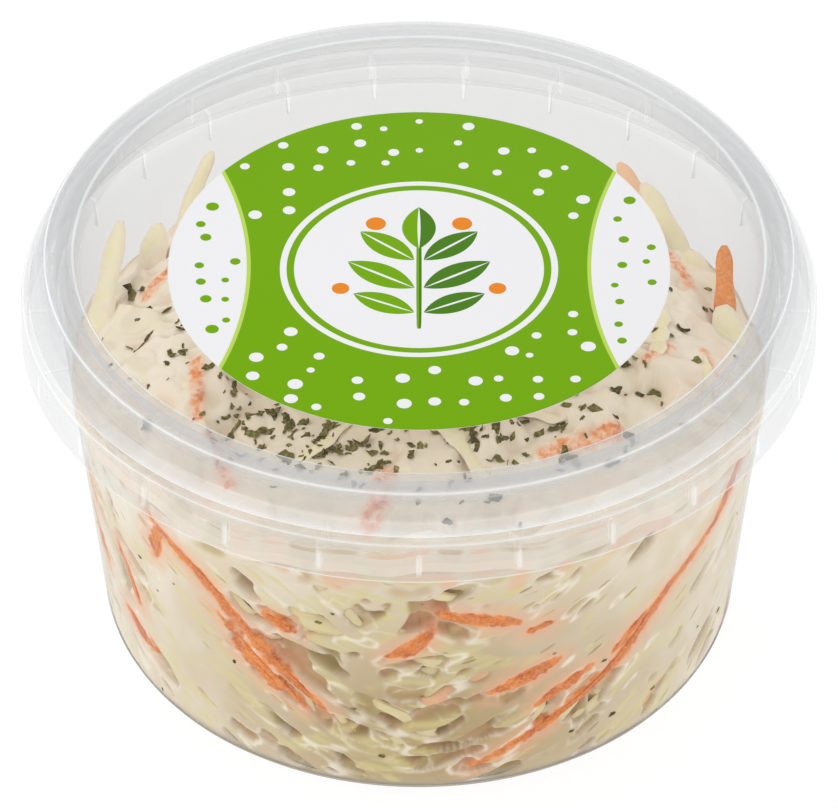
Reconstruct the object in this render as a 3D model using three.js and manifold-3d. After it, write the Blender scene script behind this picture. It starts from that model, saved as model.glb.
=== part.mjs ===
// A round deli tub of coleslaw: a clear tub with a ribbed collar, a press-on lid with a
// sunken panel, a round label on the panel, and the dressed slaw that fills the tub.
// Millimetres, +Z up, origin under the middle of the base. The front is -Y.

import * as THREE from 'three';
import { mergeVertices } from 'three/addons/utils/BufferGeometryUtils.js';
import Module from 'manifold-3d';

const wasm = await Module();
wasm.setup();

// ---- Driving dimensions ----

const roundSides = 50; // sides of every full turn, two to each rib
const seat = 0.3; // gap between pieces that don't carry each other

const tub = {
  baseRadius: 47.2, // outside, where the corner round meets the wall
  cornerRadius: 8,
  lean: 0.119, // how far the wall leans out for each mm of height
  wall: 0.8,
  footWidth: 1.8, // flat ring that the tub stands on
  footDepth: 0.8,
  collarRadius: 59,
  collarLow: 53.8,
  shoulderTop: 60.8,
  collarWall: 0.9,
  rimTop: 67.5,
  beadRadius: 55,
  beadHeight: 1.6,
  ribs: 25,
  ribLow: 54.9,
  ribWidth: 0.9,
};

const lid = {
  wall: 0.8,
  skirtRadius: 57.9,
  skirtLow: 61.4,
  shoulderRadius: 56.4, // where the sloping skirt turns into the ring
  shoulderHeight: 66.3,
  ringOuter: 54.9,
  ringInner: 51.6,
  ringTop: 68.5,
  recessRadius: 50.9, // top edge of the sunken panel's wall
  panelRadius: 50.1,
  panelTop: 64.7,
};

const label = { radius: 37.2, thickness: 0.25 };

const heap = {
  coreGap: 1.5, // core to the tub's wall, bridged by the shreds
  shredGap: 0.38, // outer faces of the shreds to the wall
  edgeHeight: 50.5, // where the heap meets the wall
  crownHeight: 59,
  shoulderWidth: 3.2, // how far in from the wall the top levels out
  lidGap: 0.5,
  lumps: 34,
  lumpSpread: [4.5, 8],
  lumpRise: [-1.9, 2.3],
};

const floorTop = tub.footDepth + tub.wall;
const lidUnder = lid.panelTop - lid.wall;
const heapLimit = lidUnder - heap.lidGap;
const cornerCentre = tub.baseRadius - tub.cornerRadius;

// ---- Helpers ----

const upward = new THREE.Vector3(0, 0, 1);
const radians = (degrees) => (degrees * Math.PI) / 180;
const mix = (low, high, share) => low + (high - low) * share;

// A repeatable stream of numbers from 0 to 1.
function seededDraws(seed) {
  let state = seed;
  return () => {
    state = (state + 0x6d2b79f5) | 0;
    let bits = Math.imul(state ^ (state >>> 15), 1 | state);
    bits = (bits + Math.imul(bits ^ (bits >>> 7), 61 | bits)) ^ bits;
    return ((bits ^ (bits >>> 14)) >>> 0) / 4294967296;
  };
}

// Points of a quarter round, by angle from straight down to straight out.
function cornerArc(centreRadius, centreHeight, radius, steps) {
  return Array.from({ length: steps + 1 }, (_, step) => {
    const angle = (step / steps) * (Math.PI / 2);
    return [centreRadius + radius * Math.sin(angle), centreHeight - radius * Math.cos(angle)];
  });
}

// Turns a profile of [radius, height] pairs round the Z axis.
function turned(profile, sides = roundSides) {
  const points = profile.map(([radius, height]) => new THREE.Vector2(radius, height));
  return new THREE.LatheGeometry(points, sides).rotateX(Math.PI / 2);
}

// Moves every vertex of a geometry to place(x, y, z).
function reshaped(geometry, place) {
  const position = geometry.attributes.position;
  for (let i = 0; i < position.count; i += 1) {
    const moved = place(position.getX(i), position.getY(i), position.getZ(i));
    position.setXYZ(i, moved.x, moved.y, moved.z);
  }
  return geometry;
}

// A closed manifold body from a closed geometry.
function bodyOf(geometry) {
  geometry.deleteAttribute('normal');
  geometry.deleteAttribute('uv');
  const merged = mergeVertices(geometry);
  const corners = merged.index.array;
  const triangles = [];
  for (let i = 0; i < corners.length; i += 3) {
    const [a, b, c] = corners.slice(i, i + 3);
    if (a !== b && b !== c && c !== a) {
      triangles.push(a, b, c);
    }
  }
  const mesh = new wasm.Mesh({
    numProp: 3,
    vertProperties: Float32Array.from(merged.attributes.position.array),
    triVerts: Uint32Array.from(triangles),
  });
  return new wasm.Manifold(mesh);
}

function geometryOf(body) {
  const { vertProperties, triVerts } = body.getMesh();
  const geometry = new THREE.BufferGeometry();
  geometry.setAttribute('position', new THREE.BufferAttribute(vertProperties, 3));
  geometry.setIndex(new THREE.BufferAttribute(triVerts, 1));
  geometry.computeVertexNormals();
  return geometry;
}

function joined(first, others) {
  return others.reduce((whole, geometry) => whole.add(bodyOf(geometry)), bodyOf(first));
}

// The outermost shell: a hollow that the shreds seal is filled, and a loose scrap is dropped.
function outerShell(body) {
  const shells = body.decompose();
  return shells.reduce((largest, shell) => (shell.volume() > largest.volume() ? shell : largest));
}

function named(name, geometry, look) {
  const mesh = new THREE.Mesh(geometry, new THREE.MeshStandardMaterial(look));
  mesh.name = name;
  return mesh;
}

// ---- The tub ----

function wallOuter(height) {
  if (height >= tub.cornerRadius) {
    return tub.baseRadius + tub.lean * (height - tub.cornerRadius);
  }
  const drop = tub.cornerRadius - height;
  return cornerCentre + Math.sqrt(tub.cornerRadius ** 2 - drop ** 2);
}

function wallInner(height) {
  if (height >= tub.cornerRadius) {
    return wallOuter(height) - tub.wall;
  }
  const radius = tub.cornerRadius - tub.wall;
  const drop = Math.min(tub.cornerRadius - height, radius);
  return cornerCentre + Math.sqrt(radius ** 2 - drop ** 2);
}

function tubProfile() {
  const shoulderUnder = tub.shoulderTop - tub.collarWall;
  const collarInner = tub.collarRadius - tub.collarWall;
  const rimInner = wallInner(tub.rimTop);
  const beadLow = tub.rimTop - tub.beadHeight;
  const footInner = cornerCentre - tub.footWidth;
  const chamfer = 0.4;
  const outside = [
    [0, tub.footDepth],
    [footInner - tub.footDepth, tub.footDepth],
    [footInner, 0],
    ...cornerArc(cornerCentre, tub.cornerRadius, tub.cornerRadius, 5),
    [wallOuter(shoulderUnder), shoulderUnder],
    [collarInner, shoulderUnder],
    [collarInner, tub.collarLow],
    [tub.collarRadius, tub.collarLow],
    [tub.collarRadius, tub.shoulderTop - chamfer],
    [tub.collarRadius - chamfer, tub.shoulderTop],
    [wallOuter(tub.shoulderTop), tub.shoulderTop],
    [wallOuter(beadLow - chamfer), beadLow - chamfer],
    [tub.beadRadius, beadLow],
    [tub.beadRadius, tub.rimTop - chamfer],
    [tub.beadRadius - chamfer, tub.rimTop],
  ];
  const inside = [
    [rimInner, tub.rimTop],
    ...cornerArc(cornerCentre, tub.cornerRadius, tub.cornerRadius - tub.wall, 4).reverse(),
    [footInner + tub.wall / 2, tub.wall],
    [footInner - tub.wall / 2, floorTop],
    [0, floorTop],
  ];
  return [...outside, ...inside];
}

// A web from the tub's wall to the inside of the collar, thinner at its lower edge.
function collarRib(index) {
  const rooted = 0.4; // how deep each edge runs into what it joins
  const lowShare = 0.6;
  const top = tub.shoulderTop - rooted;
  const height = top - tub.ribLow;
  const angle = (index / tub.ribs) * 2 * Math.PI;
  return reshaped(new THREE.BoxGeometry(1, tub.ribWidth, height), (x, y, z) => {
    const level = z + height / 2 + tub.ribLow;
    const outer = tub.collarRadius - tub.collarWall + rooted;
    const radius = x < 0 ? wallOuter(level) - rooted : outer;
    const across = y * (z < 0 ? lowShare : 1);
    return new THREE.Vector3(across, -radius, level).applyAxisAngle(upward, angle);
  });
}

function buildTub() {
  const ribs = Array.from({ length: tub.ribs }, (_, index) => collarRib(index));
  return geometryOf(joined(turned(tubProfile()), ribs));
}

// ---- The lid and its label ----

function buildLid() {
  const ringUnder = tub.rimTop;
  const edge = 0.6; // round of the ring's two top edges
  const plugTop = lid.recessRadius + lid.wall + seat;
  return turned([
    [0, lidUnder],
    [lid.panelRadius + lid.wall, lidUnder],
    [plugTop + edge, ringUnder - 2 * edge],
    [plugTop, ringUnder],
    [tub.beadRadius + seat, ringUnder],
    [tub.beadRadius + 2 * seat, tub.rimTop - tub.beadHeight],
    [tub.beadRadius + seat, tub.rimTop - tub.beadHeight - edge],
    [lid.skirtRadius - lid.wall, lid.skirtLow],
    [lid.skirtRadius, lid.skirtLow],
    [lid.shoulderRadius, lid.shoulderHeight],
    [lid.ringOuter + edge, lid.ringTop - edge],
    [lid.ringOuter, lid.ringTop],
    [lid.ringInner, lid.ringTop],
    [lid.recessRadius, lid.ringTop - edge],
    [lid.panelRadius, lid.panelTop],
    [0, lid.panelTop],
  ]);
}

function buildLabel() {
  const disc = new THREE.CylinderGeometry(label.radius, label.radius, label.thickness, roundSides);
  return reshaped(disc.rotateX(Math.PI / 2), (x, y, z) => {
    const height = z < 0 ? lid.panelTop : lid.panelTop + label.thickness;
    return new THREE.Vector3(x, y, height);
  });
}

// ---- The coleslaw ----

// Soft lumps and hollows of the dressed heap, as [x, y, spread, rise].
const draw = seededDraws(411);
const between = ([low, high]) => mix(low, high, draw());
const heapLumps = Array.from({ length: heap.lumps }, () => {
  const angle = between([0, 2 * Math.PI]);
  const radius = 46 * Math.sqrt(draw());
  return [radius * Math.cos(angle), radius * Math.sin(angle), between(heap.lumpSpread), between(heap.lumpRise)];
});

// Height of the heap's top over a point of the plan.
function heapTop(x, y) {
  const reach = Math.min(Math.hypot(x, y) / wallInner(heap.edgeHeight), 1);
  const dome = mix(heap.crownHeight, heap.edgeHeight, reach ** 3);
  const rise = heapLumps.reduce((sum, [lumpX, lumpY, spread, height]) => {
    const far = Math.hypot(x - lumpX, y - lumpY) / spread;
    return sum + height * Math.exp(-far * far);
  }, 0);
  return Math.min(dome + rise, heapLimit - 2);
}

function buildCore() {
  const sideSteps = 4;
  const topRings = 7;
  const coreRadius = (height) => wallInner(height) - heap.coreGap;
  const cornerTop = tub.cornerRadius;
  const cornerSweep = tub.cornerRadius - tub.wall - heap.coreGap;
  const edgeLow = heap.edgeHeight - heap.shoulderWidth;
  const side = Array.from({ length: sideSteps }, (_, step) => {
    const height = mix(cornerTop, edgeLow, (step + 1) / sideSteps);
    return [coreRadius(height), height];
  });
  const corner = cornerArc(cornerCentre, cornerTop, cornerSweep, 3)
    .filter(([, height]) => height > floorTop + seat);
  const top = Array.from({ length: topRings }, (_, ring) => {
    const share = 1 - ring / topRings;
    return [(coreRadius(edgeLow) - 1) * share, heap.crownHeight];
  });
  const footRadius = cornerCentre - tub.footWidth - tub.wall;
  const profile = [[0, floorTop], [footRadius, floorTop], ...corner, ...side, ...top, [0, heap.crownHeight]];
  const lowestTop = heap.crownHeight - 0.01;
  return reshaped(turned(profile, 40), (x, y, z) => {
    const height = z > lowestTop ? heapTop(x, y) : z;
    return new THREE.Vector3(x, y, height);
  });
}

// Keeps a point of a shred inside the tub and under the lid.
function insideTub(point) {
  const low = floorTop + heap.shredGap;
  const height = THREE.MathUtils.clamp(point.z, low, heapLimit);
  const room = wallInner(height) - heap.shredGap;
  const radius = Math.hypot(point.x, point.y);
  const pull = radius > room ? room / radius : 1;
  return new THREE.Vector3(point.x * pull, point.y * pull, height);
}

const tipShare = 0.45; // width of a shred's tips beside its middle
const shredWidth = (share, tip = tipShare) => mix(tip, 1, Math.sin(Math.PI * share) ** 0.6);

// A shred pressed flat on the wall. path holds [degrees round from the front, height].
function wallShred(path, width, steps = 3) {
  const unroll = wallInner(heap.edgeHeight / 2);
  const curve = new THREE.SplineCurve(
    path.map(([degrees, height]) => new THREE.Vector2(radians(degrees) * unroll, height)),
  );
  const sunk = heap.coreGap + 0.7;
  return reshaped(new THREE.BoxGeometry(1, width, 1, steps, 1, 1), (along, across, out) => {
    const share = along + 0.5;
    const way = curve.getTangent(share);
    const middle = curve.getPoint(share);
    const aside = across * shredWidth(share);
    const angle = (middle.x - way.y * aside) / unroll;
    const height = THREE.MathUtils.clamp(middle.y + way.x * aside, 2.6, heap.edgeHeight + 2);
    const radius = wallInner(height) - (out > 0 ? heap.shredGap : sunk);
    return new THREE.Vector3(radius * Math.sin(angle), -radius * Math.cos(angle), height);
  });
}

// A shred lying over the top of the heap: it bows up in the middle and dips in at its ends.
function topShred({ x, y, heading, length, width, thickness, bow, turn = 0 }, steps = 3) {
  const sunk = 0.8;
  return reshaped(new THREE.BoxGeometry(1, width, 1, steps, 1, 1), (along, across, up) => {
    const share = along + 0.5;
    const way = heading + turn * along;
    const aside = across * shredWidth(share);
    const plan = new THREE.Vector2(
      x + along * length * Math.cos(way) - aside * Math.sin(way),
      y + along * length * Math.sin(way) + aside * Math.cos(way),
    );
    const lift = bow * Math.sin(Math.PI * share);
    const height = heapTop(plan.x, plan.y) + lift + (up > 0 ? thickness : -sunk - lift);
    return insideTub(new THREE.Vector3(plan.x, plan.y, height));
  });
}

// A shred that stands up from the heap beside the wall, from its foot to its tip.
function standingShred({ foot, tip, width, thickness }) {
  const from = new THREE.Vector3(...foot);
  const to = new THREE.Vector3(...tip);
  const round = new THREE.Vector3(-from.y, from.x, 0).normalize();
  const inward = new THREE.Vector3(-from.x, -from.y, 0).normalize();
  return reshaped(new THREE.BoxGeometry(width, thickness, 1, 1, 1, 2), (across, deep, along) => {
    const share = along + 0.5;
    const narrow = mix(1, tipShare, share ** 2);
    const point = from.clone().lerp(to, share)
      .addScaledVector(round, across * narrow)
      .addScaledVector(inward, deep);
    return insideTub(point);
  });
}

// A dried herb flake, half sunk in the dressing.
function herbFlake(x, y, heading, length, width) {
  return topShred({ x, y, heading, length, width, thickness: 0.35, bow: 0.1 }, 2);
}

// Long carrot shreds that show through the wall, in [degrees, height] pairs.
const wallCarrots = [
  { path: [[-51, 44], [-39, 37.8], [-28.5, 28.4], [-16, 17.6]], width: 3.2 },
  { path: [[-33, 26.5], [-26.5, 20.4]], width: 2.2 },
  { path: [[-49.5, 42], [-51, 35]], width: 3.4 },
  { path: [[10, 7.4], [31.6, 18.2], [41.6, 25.7], [48.5, 31.7], [65, 38.5]], width: 2.4 },
  { path: [[22, 18.2], [31.5, 22.4]], width: 2.6 },
  { path: [[13.5, 23], [24, 26.8]], width: 2.8 },
  { path: [[4, 40.2], [16.5, 37.4]], width: 2.6 },
  { path: [[-4.8, 32], [-1.4, 33.4], [2, 37]], width: 2.4 },
  { path: [[-64, 16.6], [-56.5, 13.6]], width: 1.6 },
  { path: [[-64, 29], [-59, 21.8]], width: 1.5 },
];

// Broad cabbage shreds at the front of the wall.
const wallCabbage = [
  { path: [[-19, 33], [-12, 33.2], [-4.4, 38.8], [-3, 44]], width: 4.4 },
  { path: [[1, 37], [8.7, 31.4], [15, 29]], width: 2.8 },
  { path: [[4, 25.2], [14, 29], [25, 27.1]], width: 2.4 },
  { path: [[-8.6, 24.6], [-1.4, 27.2], [3.6, 24.6]], width: 2.2 },
  { path: [[-3.4, 16], [2, 16.8], [7.4, 18.8]], width: 3 },
  { path: [[-19, 9.8], [-8.7, 11.1], [3, 10.8]], width: 3.2 },
  { path: [[-9.6, 44.7], [-20, 38.9]], width: 5 },
];

// Shreds that stand against the wall above the heap.
const standing = [
  { foot: [-46.6, 4, 47], tip: [-44.8, 17, 60], width: 3.4, thickness: 1.6 },
  { foot: [-40.5, 18, 49], tip: [-39.5, 25.5, 57.5], width: 5.2, thickness: 1.4 },
  { foot: [44.6, 8, 48], tip: [46.4, 13.5, 60], width: 2.6, thickness: 1.8 },
  { foot: [33, 30, 49], tip: [31, 38, 57], width: 3, thickness: 1.4 },
  { foot: [-32, 31, 49], tip: [-30.5, 38.5, 57], width: 3.6, thickness: 1.4 },
  { foot: [-8, 44.5, 47.5], tip: [-3, 48, 55.5], width: 3.4, thickness: 1.4 },
];

function scatteredWall(count, pieceWidth, pieceReach) {
  return Array.from({ length: count }, (_, index) => {
    const degrees = (index / count) * 360 + between([-6, 6]);
    const height = between([6, heap.edgeHeight - 4]);
    const slope = between([-1, 1]);
    const reach = between(pieceReach);
    const sway = between([-1.5, 1.5]);
    const path = [
      [degrees - reach, height - slope * reach],
      [degrees, height + sway],
      [degrees + reach, height + slope * reach],
    ];
    return wallShred(path, between(pieceWidth));
  });
}

function scatteredTop(count, outer, shape) {
  return Array.from({ length: count }, () => {
    const angle = between([0, 2 * Math.PI]);
    const radius = outer * Math.sqrt(draw());
    return topShred({
      x: radius * Math.cos(angle),
      y: radius * Math.sin(angle),
      heading: between([0, Math.PI]),
      turn: between([-1, 1]),
      length: between(shape.length),
      width: between(shape.width),
      thickness: between(shape.thickness),
      bow: between(shape.bow),
    });
  });
}

// Herb flakes lie thickest over the front of the heap.
function scatteredFlakes(count) {
  return Array.from({ length: count }, () => {
    const angle = -Math.PI / 2 + (draw() + draw() - 1) * 1.9;
    const radius = mix(22, 47, Math.sqrt(draw()));
    const length = between([1.8, 3.6]);
    return herbFlake(
      radius * Math.cos(angle),
      radius * Math.sin(angle),
      between([0, Math.PI]),
      length,
      length * between([0.4, 0.6]),
    );
  });
}

function buildColeslaw() {
  const shreds = [
    ...wallCarrots.map(({ path, width }) => wallShred(path, width, 4)),
    ...wallCabbage.map(({ path, width }) => wallShred(path, width, 4)),
    ...standing.map(standingShred),
    ...scatteredWall(34, [2, 4.6], [6, 13]),
    ...scatteredTop(26, 42, { length: [12, 26], width: [3, 6.5], thickness: [0.8, 1.5], bow: [0.3, 1.6] }),
    ...scatteredTop(8, 44, { length: [10, 20], width: [1.8, 2.6], thickness: [0.9, 1.3], bow: [0.2, 1] }),
    ...scatteredFlakes(38),
  ];
  return geometryOf(outerShell(joined(buildCore(), shreds)));
}

// ---- The whole ----

const clearPlastic = { color: 0xe6eaec, roughness: 0.25, metalness: 0, transparent: true, opacity: 0.35 };

const coleslawTub = new THREE.Group();
coleslawTub.add(
  named('tub', buildTub(), { ...clearPlastic }),
  named('lid', buildLid(), { ...clearPlastic }),
  named('label', buildLabel(), { color: 0x76ad06, roughness: 0.45, metalness: 0 }),
  named('coleslaw', buildColeslaw(), { color: 0xe6dcc6, roughness: 0.5, metalness: 0 }),
);

export default coleslawTub;
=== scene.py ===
import math
import bpy
import numpy as np
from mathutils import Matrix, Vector, noise
from mathutils.kdtree import KDTree


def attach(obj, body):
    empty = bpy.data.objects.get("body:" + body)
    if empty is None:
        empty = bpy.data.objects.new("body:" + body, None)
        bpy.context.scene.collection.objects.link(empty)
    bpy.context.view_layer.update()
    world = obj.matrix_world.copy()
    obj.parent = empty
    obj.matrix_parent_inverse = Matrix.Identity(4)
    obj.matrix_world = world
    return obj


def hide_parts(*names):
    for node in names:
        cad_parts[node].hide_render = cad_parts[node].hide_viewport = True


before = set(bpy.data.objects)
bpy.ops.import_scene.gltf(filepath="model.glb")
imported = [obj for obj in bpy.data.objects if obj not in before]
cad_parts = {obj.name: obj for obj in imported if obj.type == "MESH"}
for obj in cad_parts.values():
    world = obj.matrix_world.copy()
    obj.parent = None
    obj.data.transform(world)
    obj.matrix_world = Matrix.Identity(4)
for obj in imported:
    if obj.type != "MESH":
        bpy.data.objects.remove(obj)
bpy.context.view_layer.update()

mm = 0.001  # every size below is in millimetres
scene = bpy.context.scene


def pick(*things):
    if bpy.context.object and bpy.context.object.mode == "EDIT":
        bpy.ops.object.mode_set(mode="OBJECT")
    bpy.ops.object.select_all(action="DESELECT")
    for thing in things:
        thing.select_set(True)
        bpy.context.view_layer.objects.active = thing


def startEditing(thing):
    pick(thing)
    bpy.ops.object.mode_set(mode="EDIT")
    bpy.ops.mesh.select_all(action="SELECT")


def stopEditing():
    bpy.ops.object.mode_set(mode="OBJECT")


def applyModifier(thing, kind, **settings):
    pick(thing)
    modifier = thing.modifiers.new(kind.title(), kind)
    for key, value in settings.items():
        setattr(modifier, key, value)
    bpy.ops.object.modifier_apply(modifier=modifier.name)


def nameThing(thing, name):
    thing.name = name
    thing.data.name = name


def closeShape(doubles=0):  # ends the editing of a shape that's complete
    bpy.ops.mesh.select_all(action="SELECT")
    if doubles:
        bpy.ops.mesh.remove_doubles(threshold=doubles * mm)
    bpy.ops.mesh.normals_make_consistent(inside=False)
    stopEditing()


def joinAll(name, parts):
    pick(*parts)
    bpy.ops.object.join()
    nameThing(bpy.context.object, name)
    return bpy.context.object


def readPlaces(thing):
    flat = np.empty(len(thing.data.vertices) * 3, np.float32)
    thing.data.vertices.foreach_get("co", flat)
    return flat.reshape(-1, 3).astype(float) / mm


def writePlaces(thing, places):
    thing.data.vertices.foreach_set("co", (places * mm).astype(np.float32).ravel())
    thing.data.update()


def copyOf(thing, name, places):  # a copy with its own mesh, whose corners lie at other places
    copy = bpy.data.objects.new(name, thing.data.copy())
    scene.collection.objects.link(copy)
    writePlaces(copy, places)
    return copy


def writeAttribute(thing, name, values):
    values = np.asarray(values, np.float32)
    kind, field = ("FLOAT", "value") if values.ndim == 1 else ("FLOAT_VECTOR", "vector")
    attribute = thing.data.attributes.get(name) or thing.data.attributes.new(name, kind, "POINT")
    attribute.data.foreach_set(field, values.ravel())


def finishPiece(thing, node, material, angle=40):
    thing.data.materials.clear()
    thing.data.materials.append(material)
    pick(thing)
    bpy.ops.object.shade_smooth_by_angle(angle=math.radians(angle))
    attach(thing, "root")
    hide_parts(node)
    print("made", thing.name, len(thing.data.polygons), "faces")


studio = {
    "elevation": 39.562,  # degrees that the camera looks down
    "distance": 2548.1,
    "aimHeight": 38.98,
    "lens": 734.8,
    "worldLight": 0.6,
    "floorSize": 9000,
    "floorColor": (0.93, 0.93, 0.93),
    "floorGlow": 1.04,
    "floorGlowShare": 0.9,
    "roughness": 0.9,
    "shine": 0.1,
}

lamps = [
    {"name": "keyLamp", "place": (-600, -200, 620), "size": 620, "power": 2.4},
    {"name": "fillLamp", "place": (660, -280, 430), "size": 700, "power": 1.2},
    {"name": "backLamp", "place": (180, 620, 620), "size": 620, "power": 1.3},
]


def addCamera():
    tilt = math.radians(studio["elevation"])
    back = studio["distance"] * math.cos(tilt) * mm
    up = (studio["aimHeight"] + studio["distance"] * math.sin(tilt)) * mm
    bpy.ops.object.camera_add(location=(0, -back, up), rotation=(math.pi / 2 - tilt, 0, 0))
    camera = bpy.context.object
    camera.data.lens = studio["lens"]
    scene.camera = camera


def addLamps():
    target = Vector((0, 0, studio["aimHeight"] * mm))
    for lamp in lamps:
        place = Vector(lamp["place"]) * mm
        turn = (target - place).to_track_quat("-Z", "Y").to_euler()
        bpy.ops.object.light_add(type="AREA", location=place, rotation=turn)
        light = bpy.context.object
        light.name = lamp["name"]
        light.data.size = lamp["size"] * mm
        light.data.energy = lamp["power"]
    world = bpy.data.worlds.new("studioWorld")
    world.use_nodes = True
    backdrop = world.node_tree.nodes["Background"].inputs
    backdrop["Strength"].default_value = studio["worldLight"]
    backdrop["Color"].default_value = (1, 1, 1, 1)
    scene.world = world


def plug(tree, socket, value):
    if isinstance(value, bpy.types.NodeSocket):
        tree.links.new(value, socket)
    elif socket.type == "RGBA" and len(value) == 3:
        socket.default_value = (*value, 1)
    else:
        socket.default_value = value


def addNode(tree, kind, sockets, **settings):
    made = tree.nodes.new("ShaderNode" + kind)
    for key, value in settings.items():
        setattr(made, key, value)
    for name, value in sockets.items():
        plug(tree, made.inputs[name], value)
    return made


def maths(tree, operation, *values, clamp=False):
    sockets = dict(enumerate(values))
    return addNode(tree, "Math", sockets, operation=operation, use_clamp=clamp).outputs[0]


def times(tree, first, *others, clamp=False):  # the product of them all
    for value in others:
        first = maths(tree, "MULTIPLY", first, value, clamp=clamp)
    return first


def plus(tree, first, second, clamp=False):
    return maths(tree, "ADD", first, second, clamp=clamp)


def less(tree, first, second, clamp=False):
    return maths(tree, "SUBTRACT", first, second, clamp=clamp)


def timesPlus(tree, first, second, third, clamp=False):  # first times second, plus third
    return maths(tree, "MULTIPLY_ADD", first, second, third, clamp=clamp)


def larger(tree, first, second):
    return maths(tree, "MAXIMUM", first, second)


def blended(tree, share, first, second):
    sockets = {0: share, 6: first, 7: second}
    return addNode(tree, "Mix", sockets, data_type="RGBA").outputs[2]


def ramped(tree, value, low, high):  # 0 below low, 1 above high
    sockets = {"Value": value, "From Min": low, "From Max": high}
    return addNode(tree, "MapRange", sockets, interpolation_type="SMOOTHSTEP").outputs[0]


def grained(tree, vector, size, detail=2.0, roughness=0.5):
    sockets = {"Vector": vector, "Scale": 1 / (size * mm), "Detail": detail, "Roughness": roughness}
    return addNode(tree, "TexNoise", sockets).outputs["Fac"]


def within(tree, value, low, high, soft=0.2):  # 1 between two sizes, with a soft edge
    return times(
        tree,
        ramped(tree, value, (low - soft) * mm, (low + soft) * mm),
        ramped(tree, value, (high + soft) * mm, (high - soft) * mm),
    )


def attributeOf(tree, name):
    return addNode(tree, "Attribute", {}, attribute_name=name).outputs["Fac"]


def objectPlace(tree):
    return addNode(tree, "TexCoord", {}).outputs["Object"]


def startMaterial(name):
    material = bpy.data.materials.new(name)
    material.use_nodes = True
    tree = material.node_tree
    return material, tree, tree.nodes["Principled BSDF"]


def setFinish(tree, shader, color, look, relief=None):
    plug(tree, shader.inputs["Base Color"], color)
    shader.inputs["Roughness"].default_value = look["roughness"]
    shader.inputs["Specular IOR Level"].default_value = look["shine"]
    if relief:
        sockets = {"Height": relief, "Strength": look["bump"], "Distance": look["bumpDepth"] * mm}
        bump = addNode(tree, "Bump", sockets)
        plug(tree, shader.inputs["Normal"], bump.outputs[0])


def startGroup(name, inputs, outputs):
    group = bpy.data.node_groups.new(name, "ShaderNodeTree")
    for direction, sockets in (("INPUT", inputs), ("OUTPUT", outputs)):
        for title, kind in sockets.items():
            group.interface.new_socket(title, in_out=direction, socket_type="NodeSocket" + kind)
    start = group.nodes.new("NodeGroupInput").outputs
    end = group.nodes.new("NodeGroupOutput").inputs
    return group, start, end


def useGroup(tree, group, sockets):
    made = tree.nodes.new("ShaderNodeGroup")
    made.node_tree = group
    for name, value in sockets.items():
        plug(tree, made.inputs[name], value)
    return made.outputs


def makeRimLine():  # a soft ring on a turned shape, for the painted highlights and dark lines
    group, start, end = startGroup(
        "rimLine", {"Profile": "Vector", "Middle": "Vector", "Sharpness": "Float"}, {"Mask": "Float"}
    )
    away = addNode(group, "VectorMath", {0: start["Profile"], 1: start["Middle"]}, operation="DISTANCE")
    near = less(group, 1.0, times(group, away.outputs["Value"], start["Sharpness"]), clamp=True)
    plug(group, end["Mask"], times(group, near, near))
    return group


def makeCreamCoat():  # patches of dressing that cling to a shred
    group, start, end = startGroup(
        "creamCoat",
        {"Vector": "Vector", "Size": "Float", "Cover": "Float"},
        {"Mask": "Float", "Relief": "Float"},
    )
    scale = maths(group, "DIVIDE", 1000.0, start["Size"])
    levels = []
    for finer, detail in ((1.0, 3.0), (5.0, 2.0)):
        sockets = {"Vector": start["Vector"], "Scale": times(group, scale, finer), "Detail": detail}
        levels.append(addNode(group, "TexNoise", sockets).outputs["Fac"])
    both = plus(group, times(group, levels[0], 0.7), times(group, levels[1], 0.3))
    level = less(group, both, less(group, 1.0, start["Cover"]))
    plug(group, end["Mask"], timesPlus(group, level, 7.0, 0.5, clamp=True))
    plug(group, end["Relief"], both)
    return group


rimLine = makeRimLine()
creamCoat = makeCreamCoat()


def addFloor():
    pick()
    bpy.ops.mesh.primitive_plane_add(size=studio["floorSize"] * mm, location=(0, 0, -0.02 * mm))
    floor = bpy.context.object
    floor.name = "studioFloor"
    material, tree, shader = startMaterial("paleFloor")
    setFinish(tree, shader, studio["floorColor"], studio)
    glow = addNode(tree, "Emission", {"Color": (1, 1, 1), "Strength": studio["floorGlow"]}).outputs[0]
    lift = addNode(tree, "MixShader", {0: studio["floorGlowShare"], 1: shader.outputs[0], 2: glow}).outputs[0]
    plug(tree, tree.nodes["Material Output"].inputs["Surface"], lift)
    floor.data.materials.append(material)


addCamera()
addLamps()
addFloor()
scene.view_settings.view_transform = "Standard"
scene.cycles.transparent_max_bounces = 48
scene.cycles.max_bounces = 8
scene.cycles.diffuse_bounces = 3
scene.cycles.glossy_bounces = 2
print("stage ready")


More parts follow.
